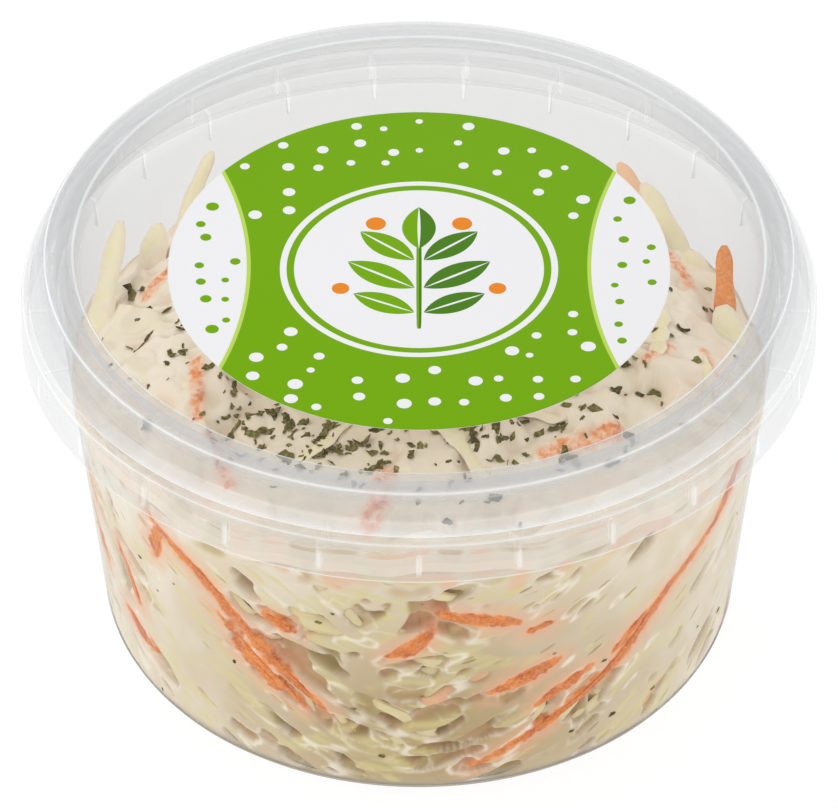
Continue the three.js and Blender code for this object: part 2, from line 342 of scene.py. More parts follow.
def plasticMaterial(name, look):
    material, tree, shader = startMaterial(name)
    place = objectPlace(tree)
    parts = addNode(tree, "SeparateXYZ", {0: place}).outputs
    flat = addNode(tree, "VectorMath", {0: place, 1: (1, 1, 0)}, operation="MULTIPLY").outputs[0]
    radius = addNode(tree, "VectorMath", {0: flat}, operation="LENGTH").outputs["Value"]
    profile = addNode(tree, "CombineXYZ", {"X": radius, "Y": parts["Z"]}).outputs[0]
    facing = addNode(tree, "LayerWeight", {"Blend": 0.5}).outputs["Facing"]

    def share(value, low, high):
        return ramped(tree, value, low * mm, high * mm)

    edge = maths(tree, "POWER", facing, look["edgePower"])
    cover = timesPlus(tree, edge, look["edgeHaze"], look["haze"])
    # painted shade: the plastic is coloured darker where it is seen edge on
    color = blended(tree, times(tree, edge, 0.9), look["hazeColor"], look["edgeShade"])
    if look["fog"]:  # the breath on the wall above the salad
        fog = times(tree, share(radius, 54.3, 54.1), share(parts["Z"], 41, 44), share(parts["Y"], -20, 15))
        cover = timesPlus(tree, fog, look["fog"], cover)
    if look["foot"]:  # the round at the base, seen edge on, coloured with painted shade
        foot = times(tree, ramped(tree, facing, 0.5, 0.75), share(parts["Z"], 7, 3.5))
        cover = timesPlus(tree, foot, look["foot"], cover)
        color = blended(tree, foot, color, look["base"])
    for inner, outer, low, high, strength, bandColor in look["bands"]:
        band = times(tree, within(tree, radius, inner, outer), within(tree, parts["Z"], low, high))
        cover = timesPlus(tree, band, strength, cover)
        color = blended(tree, band, color, bandColor)
    if look["webs"]:  # where the webs meet the collar: the plastic is cleared and lightened there, and painted light strokes run up the collar at each web
        gap = times(tree, share(radius, 53.3, 53.7), share(radius, 57.9, 57.7), share(parts["Z"], 59.8, 59.6))
        cover = times(tree, cover, timesPlus(tree, gap, -0.8, 1.0))
        color = blended(tree, gap, color, look["light"])
        turn = maths(tree, "ARCTAN2", parts["X"], times(tree, parts["Y"], -1.0))
        near = ramped(tree, maths(tree, "COSINE", times(tree, turn, tub["ribs"])), 0.975, 0.992)
        low = tub["ribLow"] - 0.3
        tall = times(tree, share(parts["Z"], low, low + 0.9), share(parts["Z"], 60.4, 58))
        web = times(tree, near, tall, share(radius, 57.8, 58.0))
        cover = timesPlus(tree, web, look["webs"], cover)
        color = blended(tree, web, color, look["light"])
    back = times(tree, share(parts["Y"], 15, 45), share(parts["Z"], 57, 60))
    cover = times(tree, cover, timesPlus(tree, back, -0.35, 1.0))
    if look["apron"]:  # painted light on the skirt's lower part at the front
        apron = times(tree, share(parts["Y"], -20, -45), share(radius, 56.8, 57.2))
        apron = times(tree, apron, share(parts["Z"], 64.6, 63.8))
        cover = timesPlus(tree, apron, look["apron"], cover)
        color = blended(tree, apron, color, look["light"])
    # painted highlights and painted dark lines along the rings
    for ringRadius, height, spread, strength, lineColor in look["rings"]:
        middle = (ringRadius * mm, height * mm, 0)
        sockets = {"Profile": profile, "Middle": middle, "Sharpness": 1 / (spread * mm)}
        mask = useGroup(tree, rimLine, sockets)["Mask"]
        cover = timesPlus(tree, mask, strength, cover)
        color = blended(tree, times(tree, mask, 1.6, clamp=True), color, look[lineColor])
    setFinish(tree, shader, color, look)
    plug(tree, shader.inputs["Emission Color"], color)
    shader.inputs["Emission Strength"].default_value = look["glow"]  # painted glow: the plastic gives off light in its own colour, standing in for light that wanders inside milky plastic
    plug(tree, shader.inputs["Alpha"], maths(tree, "MINIMUM", cover, 0.95))
    shader.inputs["IOR"].default_value = 1.3
    return material


def roundedOutline(corners, steps=5):  # corners are (radius, height, fillet)
    outline = []
    for index, (radius, height, fillet) in enumerate(corners):
        here = np.array((radius, height), float)
        if not fillet:
            outline.append(here)
            continue
        toBefore = np.array(corners[index - 1][:2]) - here
        toAfter = np.array(corners[index + 1][:2]) - here
        start = here + toBefore / np.linalg.norm(toBefore) * fillet
        end = here + toAfter / np.linalg.norm(toAfter) * fillet
        for step in range(steps + 1):
            share = step / steps
            outline.append(start * (1 - share) ** 2 + here * 2 * share * (1 - share) + end * share ** 2)
    return outline


def spunShell(name, outline, steps):
    pick()
    bpy.ops.mesh.primitive_plane_add(size=mm, location=(0, 0, 0))
    shell = bpy.context.object
    nameThing(shell, name)
    startEditing(shell)
    bpy.ops.mesh.merge(type="CENTER")
    bpy.ops.transform.translate(value=(outline[0][0] * mm, 0, outline[0][1] * mm))
    for before, here in zip(outline, outline[1:]):
        step = (here - before) * mm
        bpy.ops.mesh.extrude_vertices_move(TRANSFORM_OT_translate={"value": (step[0], 0, step[1])})
    bpy.ops.mesh.select_all(action="SELECT")
    bpy.ops.mesh.spin(steps=steps, angle=math.tau, center=(0, 0, 0), axis=(0, 0, 1))
    closeShape(doubles=0.004)
    return shell


tub = {
    "baseRadius": 47.2,  # outside, where the corner round meets the wall
    "cornerRadius": 8.0,
    "lean": 0.119,  # outwards for each mm of height
    "wall": 0.8,
    "footWidth": 1.8,
    "footDepth": 0.8,
    "collarRadius": 59.0,
    "collarLow": 53.8,
    "shoulderTop": 60.8,
    "collarWall": 0.9,
    "rimTop": 67.5,
    "beadRadius": 55.0,
    "beadHeight": 1.6,
    "ribs": 25,
    "ribLow": 54.9,
    "ribWidth": 0.8,
    "steps": 150,
}
cornerCentre = tub["baseRadius"] - tub["cornerRadius"]
floorTop = tub["footDepth"] + tub["wall"]


def wallAt(height, inset):  # the wall's radius at a height, inset from its outer face
    height = np.asarray(height, float)
    radius = tub["cornerRadius"] - inset
    drop = np.clip(tub["cornerRadius"] - height, 0, radius)
    lean = tub["lean"] * np.maximum(height - tub["cornerRadius"], 0)
    return cornerCentre + np.sqrt(radius ** 2 - drop ** 2) + lean


def tubOutline():
    footInner = cornerCentre - tub["footWidth"]
    shoulderUnder = tub["shoulderTop"] - tub["collarWall"]
    collarInner = tub["collarRadius"] - tub["collarWall"]
    beadLow = tub["rimTop"] - tub["beadHeight"]
    arcSteps = 9
    outerArc = [step / arcSteps * math.pi / 2 for step in range(arcSteps + 1)]
    innerRadius = tub["cornerRadius"] - tub["wall"]
    corners = [
        (0, tub["footDepth"], 0),
        (footInner - tub["footDepth"], tub["footDepth"], 0.3),
        (footInner, 0, 0.25),
        *[
            (cornerCentre + tub["cornerRadius"] * math.sin(a), tub["cornerRadius"] * (1 - math.cos(a)), 0)
            for a in outerArc
        ],
        (float(wallAt(shoulderUnder, 0)), shoulderUnder, 0.5),
        (collarInner, shoulderUnder, 0.6),
        (collarInner, tub["collarLow"], 0.2),
        (tub["collarRadius"], tub["collarLow"], 0.25),
        (tub["collarRadius"], tub["shoulderTop"], 0.9),
        (float(wallAt(tub["shoulderTop"], 0)), tub["shoulderTop"], 0.7),
        (float(wallAt(beadLow - 0.4, 0)), beadLow - 0.4, 0.2),
        (tub["beadRadius"], beadLow, 0.3),
        (tub["beadRadius"], tub["rimTop"], 0.5),
        (float(wallAt(tub["rimTop"], tub["wall"])), tub["rimTop"], 0.35),
        *[
            (cornerCentre + innerRadius * math.sin(a), tub["cornerRadius"] - innerRadius * math.cos(a), 0)
            for a in reversed(outerArc)
        ],
        (footInner + tub["wall"] / 2, tub["wall"], 0.2),
        (footInner - tub["wall"] / 2, floorTop, 0.3),
        (0, floorTop, 0),
    ]
    return roundedOutline(corners)


def makeRib():  # one web between the wall and the collar, at the front
    rooted = 0.4
    top = tub["shoulderTop"] - rooted
    outer = tub["collarRadius"] - tub["collarWall"] + rooted
    pick()
    bpy.ops.mesh.primitive_cube_add(size=1, location=(0, 0, 0))
    rib = bpy.context.object
    rib.name = "rib"
    places = readPlaces(rib) * mm  # the cube's corners are at +-0.5
    low = places[:, 2] < 0
    level = np.where(low, tub["ribLow"], top)
    inner = wallAt(level, 0) - rooted
    across = places[:, 0] * tub["ribWidth"] * np.where(low, 0.6, 1)
    depth = np.where(places[:, 1] > 0, -inner, -outer)
    writePlaces(rib, np.stack([across, depth, level], 1))
    applyModifier(rib, "BEVEL", width=0.14 * mm, segments=2, limit_method="NONE")
    return rib


def turnedCopies(first, count, name):
    copies = [first]
    places = readPlaces(first)
    for index in range(1, count):
        turn = math.tau * index / count
        x = places[:, 0] * math.cos(turn) - places[:, 1] * math.sin(turn)
        y = places[:, 0] * math.sin(turn) + places[:, 1] * math.cos(turn)
        copies.append(copyOf(first, f"{name}{index}", np.stack([x, y, places[:, 2]], 1)))
    return joinAll(name, copies)


tubLook = {
    "hazeColor": (0.35, 0.36, 0.365),
    "edgeShade": (0.2, 0.185, 0.165),
    # painted highlight colour, for the rings and the web strokes
    "light": (0.8, 0.82, 0.84),
    # painted colours at the foot: shade on the round seen edge on, and a line near the base
    "base": (0.17, 0.135, 0.085),
    "baseLight": (0.36, 0.3, 0.21),
    "foot": 0.8,
    "webs": 0.22,
    "apron": 0.0,
    "haze": 0.03,
    "edgeHaze": 0.32,
    "edgePower": 3.5,
    "glow": 0.28,
    "fog": 0.155,
    "roughness": 0.22,
    "shine": 0.2,
    # inner and outer radius, low and high level, strength, colour
    "bands": [
        (57.9, 60, 53, 62, 0.12, (0.53, 0.54, 0.545)),
        (54.2, 60, 59.8, 68, 0.12, (0.57, 0.57, 0.57)),
    ],
    # radius, height, spread, strength, colour of the painted highlights and dark lines
    "rings": [
        (59.0, 53.95, 0.35, 0.6, "light"),
        (58.8, 60.7, 0.6, 0.3, "light"),
        (53.5, 60.8, 0.6, 0.25, "light"),
        (45.6, 3.2, 0.35, 0.3, "baseLight"),
    ],
}


def makeTub():
    body = spunShell("clearTub", tubOutline(), tub["steps"])
    ribs = turnedCopies(makeRib(), tub["ribs"], "ribs")
    applyModifier(body, "BOOLEAN", operation="UNION", object=ribs, solver="EXACT")
    body.visible_shadow = False  # clear plastic lets the light through
    bpy.data.objects.remove(ribs)
    finishPiece(body, "tub", plasticMaterial("clearTubPlastic", tubLook), angle=35)


makeTub()


lid = {
    "wall": 0.8,
    "skirtRadius": 57.9,
    "skirtLow": 61.4,
    "shoulderRadius": 56.4,
    "shoulderHeight": 66.3,
    "ringOuter": 54.9,
    "ringInner": 51.6,
    "ringTop": 68.5,
    "recessRadius": 50.9,
    "panelRadius": 50.1,
    "panelTop": 64.7,
    "steps": 150,
}

lidLook = {
    "hazeColor": (0.44, 0.45, 0.46),
    "edgeShade": (0.4, 0.41, 0.42),
    # painted colours: the highlight colour, and the colour of dark lines at edges
    "light": (0.8, 0.82, 0.84),
    "dark": (0.42, 0.44, 0.46),
    "foot": 0.0,
    "webs": 0.0,
    "apron": 0.12,
    "haze": 0.008,
    "edgeHaze": 0.3,
    "edgePower": 3.5,
    "glow": 0.26,
    "fog": 0.0,
    "roughness": 0.2,
    "shine": 0.2,
    "bands": [  # as on the tub
        (50.7, 56.2, 60, 70, 0.29, (0.48, 0.488, 0.5)),
        (56.2, 60, 60, 70, 0.14, (0.46, 0.472, 0.485)),
        (51.3, 55.2, 66, 70, 0.06, (0.46, 0.47, 0.48)),
    ],
    # painted highlights and dark lines, with the columns as on the tub
    "rings": [
        (50.4, 64.8, 0.6, 0.25, "dark"),
        (51.2, 68.3, 0.6, 0.35, "light"),
        (55.5, 67.8, 0.6, 0.45, "light"),
        (57.85, 61.5, 0.4, 0.5, "light"),
    ],
}


def lidOutline():
    seat = 0.3
    edge = 0.6
    under = lid["panelTop"] - lid["wall"]
    plugTop = lid["recessRadius"] + lid["wall"] + seat
    beadLow = tub["rimTop"] - tub["beadHeight"]
    corners = [
        (0, under, 0),
        (lid["panelRadius"] + lid["wall"], under, 0.5),
        (plugTop + edge, tub["rimTop"] - 2 * edge, 0.3),
        (plugTop, tub["rimTop"], 0.3),
        (tub["beadRadius"] + seat, tub["rimTop"], 0.25),
        (tub["beadRadius"] + 2 * seat, beadLow, 0.3),
        (tub["beadRadius"] + seat, beadLow - edge, 0.3),
        (lid["skirtRadius"] - lid["wall"], lid["skirtLow"], 0.2),
        (lid["skirtRadius"], lid["skirtLow"], 0.3),
        (lid["shoulderRadius"], lid["shoulderHeight"], 0.7),
        (lid["ringOuter"], lid["ringTop"], 0.9),
        (lid["ringInner"], lid["ringTop"], 0.7),
        (lid["recessRadius"], lid["ringTop"] - edge, 0.3),
        (lid["panelRadius"], lid["panelTop"], 0.5),
        (0, lid["panelTop"], 0),
    ]
    return roundedOutline(corners)


def makeLid():
    cover = spunShell("clearLid", lidOutline(), lid["steps"])
    cover.visible_shadow = False
    finishPiece(cover, "lid", plasticMaterial("clearLidPlastic", lidLook), angle=35)


makeLid()


label = {
    "radius": 37.2,
    "thickness": 0.25,
    "edge": 0.08,
    "steps": 160,
    "green": (0.181, 0.418, 0.0015),
    "deepGreen": (0.07, 0.22, 0.01),
    "paleGreen": (0.52, 0.72, 0.12),
    "white": (0.9, 0.9, 0.915),
    "orange": (0.86, 0.26, 0.02),
    "sideMiddle": 93,  # the white sides are cut by circles round this far point
    "sideRadius": 67.5,
    "rimWidth": 0.6,
    "badgeRadius": 18.5,
    "margin": 1.5,  # no dot past it
    "fieldInner": 23.2,
    "fieldSide": 69.6,
    "sideInner": 66.0,
    "fieldDots": (5.4, 0.55, 1.15),  # pitch, and least and largest radius
    "sideDots": (4.8, 0.55, 1.0),
    "roughness": 0.45,
    "shine": 0.06,
    "bump": 0.03,
    "bumpDepth": 0.02,
}

# x, y, half width, half length and degrees of each leaf of the sprig; x, y and radius of its berries
sprigLeaves = [
    (0, 9.6, 2.5, 4.9, 0), (-4.7, 5.4, 2.2, 5.2, 50), (4.7, 5.4, 2.2, 5.2, -50), (-5.6, -1.4, 2.4, 5.8, 58),
    (5.6, -1.4, 2.4, 5.8, -58), (-5.2, -8.0, 2.1, 5.0, 64), (5.2, -8.0, 2.1, 5.0, -64),
]
sprigBerries = [(-6.4, 10.6, 1.5), (6.4, 10.6, 1.5), (-11.6, -4.6, 1.3), (11.6, -4.6, 1.3)]


def makeTaperShape():  # a leaf's outline and its middle rib
    group, start, end = startGroup(
        "taperShape", {"Vector": "Vector", "Roundness": "Float"}, {"Mask": "Float", "Rib": "Float"}
    )
    parts = addNode(group, "SeparateXYZ", {0: start["Vector"]}).outputs
    across = maths(group, "ABSOLUTE", parts["X"])
    room = less(group, 1.0, times(group, parts["Y"], parts["Y"]), clamp=True)
    width = maths(group, "POWER", room, start["Roundness"])
    plug(group, end["Mask"], maths(group, "LESS_THAN", across, width))
    plug(group, end["Rib"], maths(group, "LESS_THAN", across, times(group, width, 0.09)))
    return group


def labelMaterial():
    material, tree, shader = startMaterial("labelPrint")
    taperShape = makeTaperShape()
    place = objectPlace(tree)
    flat = addNode(tree, "VectorMath", {0: place, 1: (1, 1, 0)}, operation="MULTIPLY").outputs[0]
    parts = addNode(tree, "SeparateXYZ", {0: place}).outputs

    def outside(vector, x, y, radius):  # 1 outside a circle, 0 in it
        away = addNode(tree, "VectorMath", {0: vector, 1: (x * mm, y * mm, 0)}, operation="DISTANCE")
        return maths(tree, "GREATER_THAN", away.outputs["Value"], radius * mm)

    def inCircle(x, y, radius, vector=flat):
        return less(tree, 1.0, outside(vector, x, y, radius))

    def between(position, radius):  # 1 between the white sides
        left = outside(position, -label["sideMiddle"], 0, radius)
        return times(tree, left, outside(position, label["sideMiddle"], 0, radius))

    def printed(position):
        return inCircle(0, 0, label["radius"] - label["margin"], position)

    def fieldZone(position):
        ring = outside(position, 0, 0, label["fieldInner"])
        return times(tree, ring, printed(position), between(position, label["fieldSide"]))

    def sideZone(position):
        beyond = less(tree, 1.0, between(position, label["sideInner"]))
        return times(tree, beyond, printed(position))

    def dots(pitch, low, high, clear):  # round dots, but none whose middle lies outside the clear zone
        sockets = {"Vector": flat, "Scale": 1 / (pitch * mm), "Randomness": 0.65}
        cells = addNode(tree, "TexVoronoi", sockets, voronoi_dimensions="2D").outputs
        chance = addNode(tree, "SeparateColor", {0: cells["Color"]}).outputs[0]
        size = timesPlus(tree, chance, (high - low) / pitch, low / pitch)
        return maths(tree, "LESS_THAN", cells["Distance"], times(tree, size, clear(cells["Position"])))

    def shapes(rows, roundness):
        mask = 0.0
        ribs = 0.0
        for x, y, halfWidth, halfLength, degrees in rows:
            sockets = {
                "Vector": flat,
                "Location": (x * mm, y * mm, 0),
                "Rotation": (0, 0, math.radians(degrees)),
                "Scale": (halfWidth * mm, halfLength * mm, 1),
            }
            turned = addNode(tree, "Mapping", sockets, vector_type="TEXTURE").outputs[0]
            shape = useGroup(tree, taperShape, {"Vector": turned, "Roundness": roundness})
            mask = larger(tree, mask, shape["Mask"])
            ribs = larger(tree, ribs, shape["Rib"])
        return mask, ribs

    color = blended(tree, dots(*label["fieldDots"], fieldZone), label["green"], label["white"])
    sideColor = blended(tree, dots(*label["sideDots"], sideZone), label["white"], label["green"])
    for wider, zoneColor in ((label["rimWidth"], label["paleGreen"]), (0, sideColor)):
        sides = less(tree, 1.0, between(flat, label["sideRadius"] + wider))
        color = blended(tree, sides, color, zoneColor)
    for wider, ringColor in ((3.1, "green"), (2.1, "white"), (1.1, "green"), (0, "white")):
        color = blended(tree, inCircle(0, 0, label["badgeRadius"] + wider), color, label[ringColor])
    leaves, ribs = shapes(sprigLeaves, 0.9)
    stem = shapes([(0, -2.5, 0.4, 11.5, 0)], 0.1)[0]
    rightHalf = maths(tree, "GREATER_THAN", parts["X"], 0.0)
    leafColor = blended(tree, rightHalf, label["green"], label["deepGreen"])
    leafColor = blended(tree, ribs, leafColor, label["white"])
    color = blended(tree, larger(tree, leaves, stem), color, leafColor)
    for x, y, radius in sprigBerries:
        color = blended(tree, inCircle(x, y, radius), color, label["orange"])
    front = maths(tree, "GREATER_THAN", parts["Z"], (lid["panelTop"] + label["thickness"] / 2) * mm)
    color = blended(tree, front, label["white"], color)
    setFinish(tree, shader, color, label, grained(tree, place, 0.35, 2.0))
    return material


def makeLabel():
    pick()
    middle = (lid["panelTop"] + label["thickness"] / 2) * mm
    bpy.ops.mesh.primitive_cylinder_add(
        vertices=label["steps"], radius=label["radius"] * mm,
        depth=label["thickness"] * mm, location=(0, 0, 0),
    )
    disc = bpy.context.object
    nameThing(disc, "roundLabel")
    startEditing(disc)
    bpy.ops.transform.translate(value=(0, 0, middle))
    stopEditing()
    applyModifier(disc, "BEVEL", width=label["edge"] * mm, segments=3, limit_method="ANGLE")
    disc.visible_shadow = False  # thin print that lets the light through to the salad
    finishPiece(disc, "label", labelMaterial(), angle=40)


makeLabel()


slaw = {
    "intoWall": 0.55,  # the dressing reaches this far into the wall
    "edgeHeight": 50.5,
    "crownHeight": 58.6,
    "highest": 63.3,
    "underRing": (61.5, 50.2),  # above this height it keeps within this radius
    "lumps": 34,
    "lumpSpread": (4.5, 8),
    "lumpRise": (-1.9, 2.3),
    "lumpSeed": 411,
}


def seededDraws(seed):
    state = seed

    def draw():
        nonlocal state
        state = (state + 0x6D2B79F5) & 0xFFFFFFFF
        bits = ((state ^ (state >> 15)) * (1 | state)) & 0xFFFFFFFF
        bits = ((bits + (((bits ^ (bits >> 7)) * (61 | bits)) & 0xFFFFFFFF)) ^ bits) & 0xFFFFFFFF
        return (bits ^ (bits >> 14)) / 4294967296
    return draw


def makeLumps():
    draw = seededDraws(slaw["lumpSeed"])
    lumps = []
    for _ in range(slaw["lumps"]):
        angle = draw() * math.tau
        radius = 46 * math.sqrt(draw())
        spread = np.interp(draw(), (0, 1), slaw["lumpSpread"])
        rise = np.interp(draw(), (0, 1), slaw["lumpRise"])
        lumps.append((radius * math.cos(angle), radius * math.sin(angle), spread, rise))
    return lumps


heapLumps = makeLumps()


def heapTop(x, y):
    x, y = np.asarray(x, float), np.asarray(y, float)
    reach = np.minimum(np.hypot(x, y) / wallAt(slaw["edgeHeight"], tub["wall"]), 1)
    top = slaw["crownHeight"] + (slaw["edgeHeight"] - slaw["crownHeight"]) * reach ** 3
    for lumpX, lumpY, spread, rise in heapLumps:
        top = top + rise * np.exp(-((x - lumpX) ** 2 + (y - lumpY) ** 2) / spread ** 2)
    return np.minimum(top, slaw["highest"] - 2)


def smooth(low, high, value):
    share = np.clip((value - low) / (high - low), 0, 1)
    return share * share * (3 - 2 * share)


def noiseField(points, size, seed):
    shift = Vector((seed * 17.3, seed * 5.9, seed * 11.7))
    return np.array([noise.noise(Vector(point) / size + shift) for point in points])


def roundWall(degrees, height, radius):
    turn = np.radians(degrees)
    return np.stack([radius * np.sin(turn), -radius * np.cos(turn), height * np.ones_like(turn)], -1)


def filmAt(height):  # the radius at which the dressing meets the wall
    return wallAt(height, tub["wall"] - slaw["intoWall"])


unroll = float(wallAt(25, tub["wall"]))  # the radius at which the wall is rolled out flat

flow = {
    "length": 8.5,  # along a streak and across it, as one unit of the flow
    "width": 2.3,
    "slope": 0.62,
    "round": 150,  # how wide the V is rounded off at the front, and how low it then starts
    "turn": 12.0,
}


def wrapped(degrees):  # -180 to 180 from the front
    return (degrees + 180) % 360 - 180


def streakPlaces(degrees, height):  # the slaw runs down towards the front, like a V
    turn = np.radians(wrapped(degrees))
    arc = np.sqrt((unroll * turn) ** 2 + flow["round"]) - flow["turn"]
    drift = height - flow["slope"] * arc
    around = unroll / flow["length"]
    return np.stack([np.sin(turn) * around, np.cos(turn) * around, drift / flow["width"]], -1)


def alongAndAcross(leaf, x, y):  # each place as seen along the leaf or carrot and across it
    outX, outY = x - leaf["x"], y - leaf["y"]
    cosine, sine = math.cos(leaf["heading"]), math.sin(leaf["heading"])
    return outX * cosine + outY * sine, outY * cosine - outX * sine


def insideLeaf(leaf, along, across, ripples):  # how far each place is inside the ragged edge
    around = np.arctan2(across, along)
    ragged = 1.0
    for (size, count), wave in zip(ripples, leaf["wave"]):
        ragged = ragged + size * np.sin(count * around + wave)
    return (ragged - np.hypot(along / leaf["reach"], across / leaf["across"])) * leaf["across"]


def smoothPath(points, count):  # Catmull-Rom through the points, evenly spaced
    points = np.asarray(points, float)
    first = 2 * points[0] - points[1]
    last = 2 * points[-1] - points[-2]
    knots = np.vstack([first, points, last])
    fine = []
    for index in range(1, len(knots) - 2):
        a, b, c, d = knots[index - 1:index + 3]
        for share in np.linspace(0, 1, 12, endpoint=False):
            fine.append(0.5 * (2 * b + (c - a) * share + (2 * a - 5 * b + 4 * c - d) * share ** 2
                               + (3 * b - a - 3 * c + d) * share ** 3))
    fine = np.vstack([*fine, points[-1]])
    steps = np.linalg.norm(np.diff(fine, axis=0), axis=1)
    run = np.concatenate([[0], np.cumsum(steps)])
    wanted = np.linspace(0, run[-1], count)
    return np.stack([np.interp(wanted, run, fine[:, axis]) for axis in range(fine.shape[1])], 1)


# The leaves that make the top
topping = {
    "divisions": 285,
    "skirt": 7.0,
    "leaves": 110,
    "leafSeed": 21,
    "reach": (6, 14),  # half length
    "narrow": (0.4, 0.8),  # half width, as a share of it
    "slope": 0.16,
    "bend": 0.012,
    "raise": (-0.2, 1.3),
    "ripples": [(0.15, 3), (0.1, 7), (0.06, 13)],  # size and count of the edge's waves
    "below": 0.8,  # under the highest that the slaw may be
    "steepest": 0.42,  # rise for each cell
}

# Carrots that lie in the top, half covered: middle, heading, length and width
topCarrots = [
    {"x": -32.7, "y": -20.4, "heading": 1.62, "length": 10, "width": 3.2},
    {"x": -38.4, "y": 10.6, "heading": 0.8, "length": 6, "width": 3.2},
    {"x": 24, "y": -29.5, "heading": 0.4, "length": 12, "width": 3.8},
    {"x": 39.0, "y": 16.0, "heading": 1.9, "length": 9, "width": 3.0},
    {"x": 35.5, "y": -10.5, "heading": 0.9, "length": 5, "width": 3.0},
    {"x": 43, "y": -9.0, "heading": 2.0, "length": 4, "width": 2.4},
    {"x": -6, "y": -42, "heading": 1.3, "length": 9, "width": 4.4},
    {"x": -29, "y": -33, "heading": 1.9, "length": 8, "width": 3.4},
    {"x": 33, "y": 31, "heading": 0.3, "length": 10, "width": 3.0},
    {"x": -20, "y": 41, "heading": 0.2, "length": 11, "width": 3.0},
]


def makeLeaves():
    random = np.random.default_rng(topping["leafSeed"])
    leaves = []
    for _ in range(topping["leaves"]):
        turn = random.uniform(0, math.tau)
        radius = 51 * math.sqrt(random.uniform(0.01, 1))
        reach = random.uniform(*topping["reach"])
        leaves.append({
            "x": radius * math.cos(turn), "y": radius * math.sin(turn),
            "heading": random.uniform(0, math.tau),
            "reach": reach, "across": reach * random.uniform(*topping["narrow"]),
            "slope": random.normal(0, topping["slope"], 2), "bend": random.normal(0, topping["bend"]),
            "raise": random.uniform(*topping["raise"]), "tint": max(0, random.normal(0.0, 0.35)),
            "wave": random.uniform(0, math.tau, 3),
        })
    return leaves


topLeaves = makeLeaves()


def leafHeights(x, y):  # the highest of the heap and the leaves over each place, and its tint
    places = np.stack([x, y, np.zeros(len(x))], 1)
    z = heapTop(x, y) + 0.2
    tint = smooth(0.1, 0.5, noiseField(places, 7.0, 8)) * 0.5
    for leaf in topLeaves:
        near = np.nonzero(np.hypot(x - leaf["x"], y - leaf["y"]) < leaf["reach"] * 1.3)[0]
        along, across = alongAndAcross(leaf, x[near], y[near])
        inside = insideLeaf(leaf, along, across, topping["ripples"])
        ground = heapTop(leaf["x"], leaf["y"]) * 0.5 + heapTop(x[near], y[near]) * 0.5
        height = (
            ground + leaf["raise"] + leaf["slope"][0] * along + leaf["slope"][1] * across
            + leaf["bend"] * along ** 2 - 0.7 * smooth(1.0, 0.0, inside)
        )
        height = np.minimum(height, slaw["highest"] - 2 * topping["below"])
        better = (inside > 0) & (height > z[near])
        z[near[better]] = height[better]
        tint[near[better]] = leaf["tint"]
    bare = np.full(len(x), -9.0)  # how far inside a carrot's outline each place is
    for carrot in topCarrots:
        along, across = alongAndAcross(carrot, x, y)
        past = np.maximum(np.abs(along) - carrot["length"] / 2, 0)
        bare = np.maximum(bare, carrot["width"] / 2 - np.hypot(across, past))
    tint = tint * smooth(0.5, -1, bare)
    crease = 0.3 * smooth(0.1, 0.0, abs(noiseField(places, 5.5, 9)))
    relief = 0.45 * noiseField(places, 4.5, 6) + 0.1 * noiseField(places, 1.6, 7) - crease
    z = z + 0.7 * smooth(-0.7, 1.1, bare) + relief
    return np.minimum(z, slaw["highest"] - topping["below"]), np.clip(tint, 0, 1), bare


rim = {
    "above": 2.9,  # at the front, over the heap's edge
    "lean": 2.6,
    "drop": 5.5,  # at the sides and the back, where the salad has sunk
    "dropFrom": 55,  # degrees from the front
    "dropTo": 105,
    "waves": [(0.9, 3, 0.6), (0.7, 7, 2.1), (0.5, 13, 0), (0.3, 29, 1)],  # height, count and phase
}


def rimDrop(degrees):
    return rim["drop"] * smooth(rim["dropFrom"], rim["dropTo"], np.abs(wrapped(degrees)))


def rimHeight(degrees):  # how high the salad stands against the wall
    turn = np.radians(degrees)
    height = slaw["edgeHeight"] + rim["above"] - rim["lean"] * (1 - np.cos(turn)) - rimDrop(degrees)
    for size, count, phase in rim["waves"]:
        height = height + size * np.sin(count * turn + phase)
    return height


# Shreds that lie on the wall, by degrees round from the front and height
wallCarrots = [
    {"path": [(-51, 44), (-39, 37.8), (-28.5, 28.4), (-16, 17.6)], "width": 2.9},
    {"path": [(-34, 27.5), (-25, 20.0)], "width": 2.6},
    {"path": [(-49.5, 42.5), (-51, 36)], "width": 3.0},
    {"path": [(9, 7.0), (31.6, 18.2), (41.6, 25.7), (48.5, 31.7), (66, 39.5)], "width": 2.5},
    {"path": [(21, 18.3), (32, 23.3)], "width": 2.8},
    {"path": [(12.5, 22.6), (25, 27.2)], "width": 3.2},
    {"path": [(3, 40.4), (11, 38.6), (17, 37.2)], "width": 3.2},
    {"path": [(-5.4, 31.6), (-1.4, 33.4), (2.6, 37.6)], "width": 3.0},
    {"path": [(-65, 17.0), (-55.5, 13.2)], "width": 2.8},
    {"path": [(-64.5, 30), (-58.5, 21)], "width": 2.6},
    {"path": [(18.3, 34.7), (23.4, 35.7)], "width": 1.8},
    {"path": [(-27.4, 35.8), (-21.8, 33.6)], "width": 2.8},
    {"path": [(-38, 33), (-27, 23.5), (-20, 17.4)], "width": 1.9},
    {"path": [(36, 24.0), (44, 29.6)], "width": 2.4},
]

wallCabbage = [
    {"path": [(-19, 33), (-12, 33.2), (-4.4, 38.8), (-3, 44)], "width": 4.4},
    {"path": [(1, 37), (8.7, 31.4), (15, 29)], "width": 2.8},
    {"path": [(4, 25.2), (14, 29), (25, 27.1)], "width": 2.4},
    {"path": [(-8.6, 24.6), (-1.4, 27.2), (3.6, 24.6)], "width": 2.2},
    {"path": [(-3.4, 16), (2, 16.8), (7.4, 18.8)], "width": 3.0},
    {"path": [(-19, 9.8), (-8.7, 11.1), (3, 10.8)], "width": 3.2},
    {"path": [(-9.6, 44.7), (-20, 38.9)], "width": 5.0},
]

